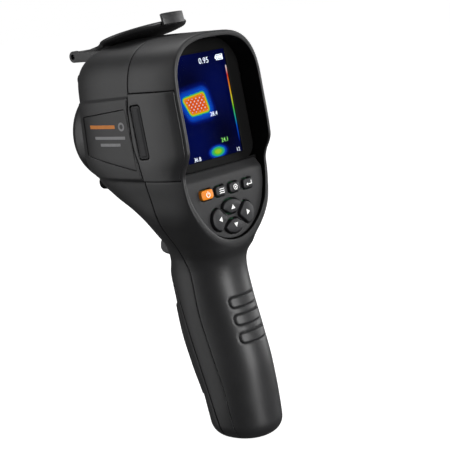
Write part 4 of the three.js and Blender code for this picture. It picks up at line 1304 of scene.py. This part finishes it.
def keypad_panel():
    holes = [loop_of(row_key_outline(x, width, KEY_CLEARANCE), 0.8) for _, x, width in KEY_ROW]
    holes += [loop_of(petal_outline(direction, KEY_CLEARANCE), 0.8) for direction in PAD_KEYS]
    rows = [np.array([(-ISLAND_HALF + 1.5, y), (ISLAND_HALF - 1.5, y)]) for y in np.arange(6.2, 12.4, 0.8)]
    edges = [("seam", closed(filleted(island(0), 2.0, 4)))]
    points, faces, _ = sheet(edges, face_surface, keypad_relief, holes, rows, radius=0.5, skirt=2.4)
    # Painted shade: a near-black plate under the keypad, seen through the gaps round the keys, stands for
    # the shade in those gaps.
    floor = prism(loop_of(island(1.2), 2), -6.4, -5.6, 0.1, 1)
    return moved((points, faces), FACE), moved(floor, FACE)


def key_cap(outline, dome=0.45):
    """A key with rounded edges and a slightly crowned top."""
    outline = loop_of(outline, 0.7)
    centre = outline.mean(0)
    shoulder = KEY_TOP - dome - KEY_EDGE
    rings = [(0, KEY_FOOT), (0, shoulder)]
    rings += [(KEY_EDGE * (1 - math.cos(t)), shoulder + KEY_EDGE * math.sin(t))
              for t in np.radians([20, 45, 70, 90])]
    points = stacked(outline, rings)
    last = points[-1]
    for share in (0.8, 0.55, 0.3, 0.08):
        flat = centre + (last[:, :2] - centre) * share
        points.append(np.column_stack([flat, np.full(len(flat), KEY_TOP - dome * share ** 2)]))
    return moved(swept(points), FACE)


def ribbon(path, width):
    """The outline of a stroke along a path."""
    path = np.asarray(path, float)
    return np.vstack([beside(path, -width / 2), beside(path, width / 2)[::-1]])


def mark(outline, height, depth=0.9):
    """A thin printed shape on a key or the screen, from its outline in the plane of the face."""
    outline = np.asarray(outline, float)
    rings = [np.column_stack([outline, np.full(len(outline), z)]) for z in (height - depth, height + 0.05)]
    return moved(swept(rings), FACE)


def ring_mark(x, y, radius, width, start, end, height):
    turns = np.radians(np.linspace(start, end, 28))
    path = [(x + radius * math.cos(t), y + radius * math.sin(t)) for t in turns]
    return mark(ribbon(path, width), height)


def bar_mark(x0, y0, x1, y1, width, height, depth=0.9):
    return mark(ribbon([(x0, y0), (x1, y1)], width), height, depth)


def key_icon(name, x):
    """A generic sign for each key of the row."""
    top = KEY_TOP
    if name == "power_button":
        return joined(ring_mark(x, -0.15, 1.3, 0.4, 125, 415, top), bar_mark(x, 0.1, x, 1.7, 0.4, top))
    if name == "menu_button":
        return joined(*[bar_mark(x - 1.9, y, x + 1.9, y, 0.42, top) for y in (-1.1, 0, 1.1)])
    if name == "select_button":
        return joined(ring_mark(x, 0, 1.35, 0.42, 0, 350, top), ring_mark(x, 0, 0.3, 0.6, 0, 350, top))
    return joined(bar_mark(x - 1.7, -0.5, x + 1.8, -0.5, 0.42, top),
                  bar_mark(x + 1.8, -0.7, x + 1.8, 1.3, 0.42, top),
                  mark([(x - 2.4, -0.5), (x - 1.1, -1.4), (x - 1.1, 0.4)], top))


def petal_icon(direction):
    """A triangle that points the way the key moves."""
    reach = 5.1 if direction in ("up", "down") else 11.2
    turned = Matrix.Rotation(math.radians(PAD_KEYS[direction]), 2)
    corners = [turned @ Vector(p) for p in [(-1.5, reach - 1.2), (1.5, reach - 1.2), (0, reach + 1.2)]]
    return mark([(p.x, p.y + PAD_CENTRE) for p in corners], KEY_TOP)


# ---- the screen's picture ------------------------------------------------------------------------

PICTURE_HEIGHT = -5.9
BAR_RISE = 0.06  # how far the scale bar stands before the picture
SIGN_RISE = 0.12  # and the digits and the battery's sign
HOT_SQUARE = [(-16.2, 52), (-0.2, 53.7), (1.9, 43.7), (-11.8, 43)]
WARM_SPOT = (2.8, 20.6)
SCALE_BAR = (20.7, 21.9, 23.5, 66)  # left, right, bottom and top
SPECKLE = 2.9  # the spacing of the hot square's dots
HALO_HEAT, EDGE_HEAT, SQUARE_HEAT, SPOT_HEAT = 0.36, 0.45, 0.78, 0.46
WHITE_NUMBERS = [("0.95", 4.6, 4.7, 70.5), ("28.4", 3.4, 4.8, 41.2),  # text, size and middle
                 ("36.8", 3.2, -14, 19), ("12", 3, 18.6, 19)]
GREEN_NUMBER = ("24.1", 3.4, 9.6, 26)
BATTERY_SIGN = (17.2, 71)


def temperatures(points):
    """The thermal picture, from 0 for cold to 1 for hot, with one small hot square and one warm spot."""
    x, y = points.T
    square = polygon_distance(points, filleted(HOT_SQUARE[::-1], 1.5))
    waves = np.sin(2 * math.pi * x / SPECKLE) * np.sin(2 * math.pi * y / SPECKLE)
    speckle = 0.26 * np.maximum(0, waves) ** 2
    heat = 0.04 + 0.04 * np.sin(x / 7) * np.cos(y / 9)
    heat = np.maximum(heat, HALO_HEAT * smooth(8, 1.5, square))
    heat = np.where(square < 1.2, EDGE_HEAT + 0.32 * smooth(1.2, -0.3, square), heat)
    heat = np.where(square < -0.3, SQUARE_HEAT + 0.08 * smooth(-0.3, -2, square) + speckle, heat)
    spot = np.hypot((x - WARM_SPOT[0]) / 2, y - WARM_SPOT[1])
    heat = np.maximum(heat, HALO_HEAT * smooth(5, 2.6, spot))
    return np.where(spot < 2.6, SPOT_HEAT + 0.14 * smooth(2.6, 0.8, spot), heat)


def picture(low, high, step):
    """A flat grid at the picture's depth, in the plane of the face, and its points there."""
    columns = np.arange(low[0], high[0] + step / 2, step)
    rows = np.arange(low[1], high[1] + step / 2, step)
    flat = np.array([(x, y) for y in rows for x in columns])
    width = len(columns)
    faces = [(j * width + i, j * width + i + 1, (j + 1) * width + i + 1, (j + 1) * width + i)
             for j in range(len(rows) - 1) for i in range(width - 1)]
    return flat, faces


def thermal_picture():
    """The lit panel: the picture and its scale bar, each point with its temperature."""
    half = SCREEN_WIDTH / 2
    low = (-half - 0.6, SCREEN_CENTRE - SCREEN_HEIGHT / 2 - 0.6)
    high = (half + 0.6, SCREEN_CENTRE + SCREEN_HEIGHT / 2 + 0.6)
    flat, faces = picture(low, high, 0.4 * FINE)
    bar, bar_faces = picture((SCALE_BAR[0], SCALE_BAR[2]), (SCALE_BAR[1], SCALE_BAR[3]), 0.85)
    points = np.vstack([np.column_stack([flat, np.full(len(flat), PICTURE_HEIGHT)]),
                        np.column_stack([bar, np.full(len(bar), PICTURE_HEIGHT + BAR_RISE)])])
    faces += [tuple(i + len(flat) for i in face) for face in bar_faces]
    obj = fixed("thermal_picture", moved((points, faces), FACE), SCREEN_PICTURE,
                ["lcd_panel"], wall=0.02)
    to_face = FACE.inverted()
    places = np.array([tuple(to_face @ (v.co / MM)) for v in obj.data.vertices])
    on_bar = places[:, 2] > PICTURE_HEIGHT + BAR_RISE / 2
    share = (places[:, 1] - SCALE_BAR[2]) / (SCALE_BAR[3] - SCALE_BAR[2])
    heat = np.where(on_bar, 0.2 + 0.8 * share, temperatures(places[:, :2])).astype(np.float32)
    obj.data.attributes.new("picture_heat", "FLOAT", "POINT").data.foreach_set("value", heat)


def number(text, size, x, y):
    """Lit digits on the screen, centred at (x, y)."""
    curve = bpy.data.curves.new("number", "FONT")
    curve.body = text
    curve.size = size
    curve.align_x = "CENTER"
    curve.align_y = "CENTER"
    curve.extrude = 0.05
    curve.offset = -0.012 * size
    curve.resolution_u = 4
    obj = bpy.data.objects.new("number", curve)
    bpy.context.scene.collection.objects.link(obj)
    mesh = bpy.data.meshes.new_from_object(obj.evaluated_get(bpy.context.evaluated_depsgraph_get()))
    points = np.array([tuple(v.co) for v in mesh.vertices]) + (x, y, PICTURE_HEIGHT + SIGN_RISE)
    faces = [tuple(p.vertices) for p in mesh.polygons]
    bpy.data.objects.remove(obj)
    return moved((points, faces), FACE)


def battery_icon(x, y, half_length=2.5, half_height=1.4):
    """The usual sign of a charged battery: a box with filled cells and a short terminal."""
    def stroke(x0, y0, x1, y1, width):
        return bar_mark(x + x0, y + y0, x + x1, y + y1, width, PICTURE_HEIGHT + SIGN_RISE, 0.1)

    box = [stroke(-half_length, side * half_height, half_length, side * half_height, 0.35)
           for side in (-1, 1)]
    ends = [stroke(side * half_length, -half_height, side * half_length, half_height, 0.35)
            for side in (-1, 1)]
    cells = [stroke(place, -half_height + 0.5, place, half_height - 0.5, 1) for place in (-1.3, 0.2, 1.7)]
    terminal = stroke(-half_length - 0.6, -0.6, -half_length - 0.6, 0.6, 0.7)
    return joined(*box, *ends, *cells, terminal)


def display_surround():
    """The dark border of the screen, with the opening's edge turned in."""
    half = (SCREEN_WIDTH / 2, SCREEN_HEIGHT / 2)
    outer = rounded_rectangle((0, 47.6), (30.6, 34.6), 9, 10)
    opening = loop_of(rounded_rectangle((0, SCREEN_CENTRE), half, 0.8), 1)
    points, faces, _ = sheet([("seam", closed(outer))], face_surface, raised(SCREEN_DEPTH + 0.35), [opening],
                             radius=0.35, skirt=1.5)
    return moved((points, faces), FACE)


def screen_pane():
    half = (SCREEN_WIDTH / 2 - 0.1, SCREEN_HEIGHT / 2 - 0.1)
    outline = rounded_rectangle((0, SCREEN_CENTRE), half, 0.8)
    return moved(prism(outline, SCREEN_DEPTH - 0.35, SCREEN_DEPTH, 0.05, 1), FACE)


SCREEN_PICTURE = screen_material()


# ---- everything, on its body ---------------------------------------------------------------------

def dress_cad_nodes():
    for material, names in CARRIED_OVER.items():
        for name in names:
            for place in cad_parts[name].material_slots:
                place.material = material


def make_housing():
    skin, hood = rear_shell()
    fixed("rear_shell_skin", skin, HOUSING, ["rear_shell"], wall=HOOD_SKIN)
    # Painted shade: the hood's inner wall gets the near-black material, not the housing's plastic.
    fixed("screen_hood", hood, PAINTED_SHADE_BLACK, wall=HOOD_SKIN)
    fixed("front_shell_skin", front_shell(), HOUSING, ["front_shell"], wall=SKIN)
    # Painted shade: the screw wells' walls get the near-black material for the shade inside the holes.
    for i, (x, z) in enumerate([(side * x, z) for x, z in SCREWS for side in (-1, 1)]):
        tube = screw_tube(abs(x), z) if x > 0 else to_side(screw_tube(abs(x), z), -1)
        fixed(f"screw_well_{i + 1}", tube, PAINTED_SHADE_BLACK)
    for side, word in ((-1, "left"), (1, "right")):
        fixed(f"hinge_lug_{word}", ear(side), HOUSING)
        fixed(f"{word}_side_cover_skin", side_cover(side), TRIM,
              [f"{word}_side_cover"], wall=SKIN)
        fixed(f"{word}_label", label_plate(side), LABEL_PLATE,
              [f"{word}_label_plate"], wall=0.5)
        fixed(f"{word}_label_stripe", label_marks(side, LABEL_STRIPE), AMBER_INK)
        pale = label_marks(side, LABEL_RING + LABEL_BARS)
        fixed(f"{word}_label_bars", pale, PALE_INK)
    build("port_flap", port_cover(), PORT_RUBBER, "port_cover", ["port_cover"], wall=SKIN)
    build("battery_door", battery_cover(), TRIM, "battery_cover", ["battery_cover"], wall=SKIN)


def make_optics():
    fixed("lens_surround", lens_bezel(), BEZEL, ["lens_bezel"])
    fixed("lens_ring", lathe(BARREL, 0.3), ALUMINIUM, ["lens_barrel"])
    fixed("lens_glass", lathe(IR_LENS, 0.5), GERMANIUM, ["ir_lens"])
    sight = lathe(SIGHT_WINDOW, 0.2, LENS_HEIGHT - SIGHT_DROP, 48)
    fixed("sight_window", sight, CAMERA_GLASS, ["viewing_camera_window"])
    build("lens_flap", lens_cover(), COVER_PLASTIC, "lens_cover", ["lens_cover"])
    build("trigger_lever", trigger(), TRIGGER_PLASTIC, "trigger", ["trigger"])


def make_keys():
    panel, floor = keypad_panel()
    fixed("keypad", panel, KEYPAD, ["keypad_panel"], wall=SKIN)
    # Painted shade: the plate under the keypad gets the near-black material.
    fixed("keypad_painted_shade_floor", floor, PAINTED_SHADE_BLACK)
    for name, x, width in KEY_ROW:
        power = name == "power_button"
        slot, material = ("power_key", POWER) if power else ("key_rubber", KEY)
        build(f"{name}_cap", key_cap(row_key_outline(x, width, 0)), material, name, [name])
        # Painted glow: the sign's white ink shines faintly by itself.
        build(f"{name}_sign", key_icon(name, x), WHITE_INK_PAINTED_GLOW, name)
    for direction in PAD_KEYS:
        node = f"{direction}_key"
        build(f"{node}_cap", key_cap(petal_outline(direction, -0.2)), KEY, node, [node])
        # Painted glow: the sign's white ink shines faintly by itself.
        build(f"{node}_sign", petal_icon(direction), WHITE_INK_PAINTED_GLOW, node)


def make_screen():
    thermal_picture()
    fixed("screen_frame", display_surround(), LCD_SURROUND, ["display_bezel"],
          wall=0.6)
    fixed("screen_pane", screen_pane(), GLASS, ["display_window"])
    digits = joined(*[number(*values) for values in WHITE_NUMBERS], battery_icon(*BATTERY_SIGN))
    fixed("screen_digits", digits, LIT_WHITE)
    fixed("screen_digits_green", number(*GREEN_NUMBER), LIT_GREEN)


# ---- camera, light and floor ---------------------------------------------------------------------

CAMERA_PLACE = Vector((-0.5215, -0.5097, 0.2558))
CAMERA_BACK = Vector((-0.71036, -0.68623, 0.15643))
CAMERA_ROLL = math.radians(7.19)
FOCAL_PIXELS, FRAME_PIXELS = 1346.07, 450
AIM_PIXEL_OFFSET = (-4.29, -36.5)  # from the lens's axis to the middle of the frame, right and up


def make_camera():
    level_right = Vector((0, 0, 1)).cross(CAMERA_BACK).normalized()
    level_up = CAMERA_BACK.cross(level_right)
    right = level_right * math.cos(CAMERA_ROLL) - level_up * math.sin(CAMERA_ROLL)
    up = level_right * math.sin(CAMERA_ROLL) + level_up * math.cos(CAMERA_ROLL)
    ahead = right * AIM_PIXEL_OFFSET[0] + up * AIM_PIXEL_OFFSET[1] - CAMERA_BACK * FOCAL_PIXELS
    back = -ahead.normalized()
    right = (right - back * right.dot(back)).normalized()
    up = back.cross(right)
    data = bpy.data.cameras.new("camera")
    data.sensor_width = 36
    data.lens = FOCAL_PIXELS / FRAME_PIXELS * data.sensor_width
    camera = bpy.data.objects.new("camera", data)
    rotation = Matrix((right, up, back)).transposed().to_4x4()
    camera.matrix_world = Matrix.Translation(CAMERA_PLACE) @ rotation
    bpy.context.scene.collection.objects.link(camera)
    bpy.context.scene.camera = camera


FLOOR_REACH = 6  # metres, as are the places and sizes of the softboxes
SUBJECT = (0, 0.03, 0.14)  # where the softboxes point
SOFTBOXES = [  # name, place, size and watts
    ("softbox_left", (-1.2, 0.9, 0.5), (1.0, 1.3), 10),
    ("softbox_low", (-0.8, 0.9, -0.25), (0.8, 0.5), 1.2),
    ("softbox_behind", (-0.05, -1.5, 0.3), (0.6, 0.9), 24),
    ("softbox_right", (1.35, -0.4, 0.3), (0.7, 0.8), 9),
    ("softbox_above", (0.2, 0.4, 1.5), (1.2, 1.2), 12),
]
WORLD_LIGHT = 0.10  # the world's strength on the object, while the camera sees it at 1


def softbox(name, place, size, power):
    data = bpy.data.lights.new(name, "AREA")
    data.shape = "RECTANGLE"
    data.size, data.size_y = size
    data.energy = power
    light = bpy.data.objects.new(name, data)
    away = Vector(place) - Vector(SUBJECT)
    light.matrix_world = Matrix.Translation(place) @ away.to_track_quat("Z", "Y").to_matrix().to_4x4()
    bpy.context.scene.collection.objects.link(light)


def make_floor():
    """A pale, plain floor that lights nothing and shows in no reflection."""
    floor_mesh = bpy.data.meshes.new("floor")
    corners = [(x * FLOOR_REACH, y * FLOOR_REACH, 0) for x, y in ((-1, -1), (1, -1), (1, 1), (-1, 1))]
    floor_mesh.from_pydata(corners, [], [(0, 1, 2, 3)])
    floor = bpy.data.objects.new("floor", floor_mesh)
    bpy.context.scene.collection.objects.link(floor)
    pale = surface_material("floor", (0.4, 0.4, 0.4), 0.8, 3, 0.01, mottle=0.01, patch=200,
                            Emission_Color=(1, 1, 1, 1), Emission_Strength=0.97)
    floor.data.materials.append(pale)
    floor.visible_glossy = False
    floor.visible_diffuse = False


def make_world():
    world = bpy.data.worlds.new("studio")
    bpy.context.scene.world = world
    world.use_nodes = True
    tree = world.node_tree
    tree.nodes.clear()
    seen = shader_node(tree, "ShaderNodeLightPath").outputs["Is Camera Ray"]
    strength = range_of(tree, seen, WORLD_LIGHT, 1.0)
    background = shader_node(tree, "ShaderNodeBackground", {"Color": (1, 1, 1, 1), "Strength": strength})
    output = tree.nodes.new("ShaderNodeOutputWorld")
    tree.links.new(background.outputs[0], output.inputs["Surface"])


def make_studio():
    make_floor()
    make_world()
    for softbox_values in SOFTBOXES:
        softbox(*softbox_values)


dress_cad_nodes()
make_housing()
make_optics()
make_keys()
make_screen()
make_camera()
make_studio()
bpy.context.scene.view_settings.view_transform = "Standard"
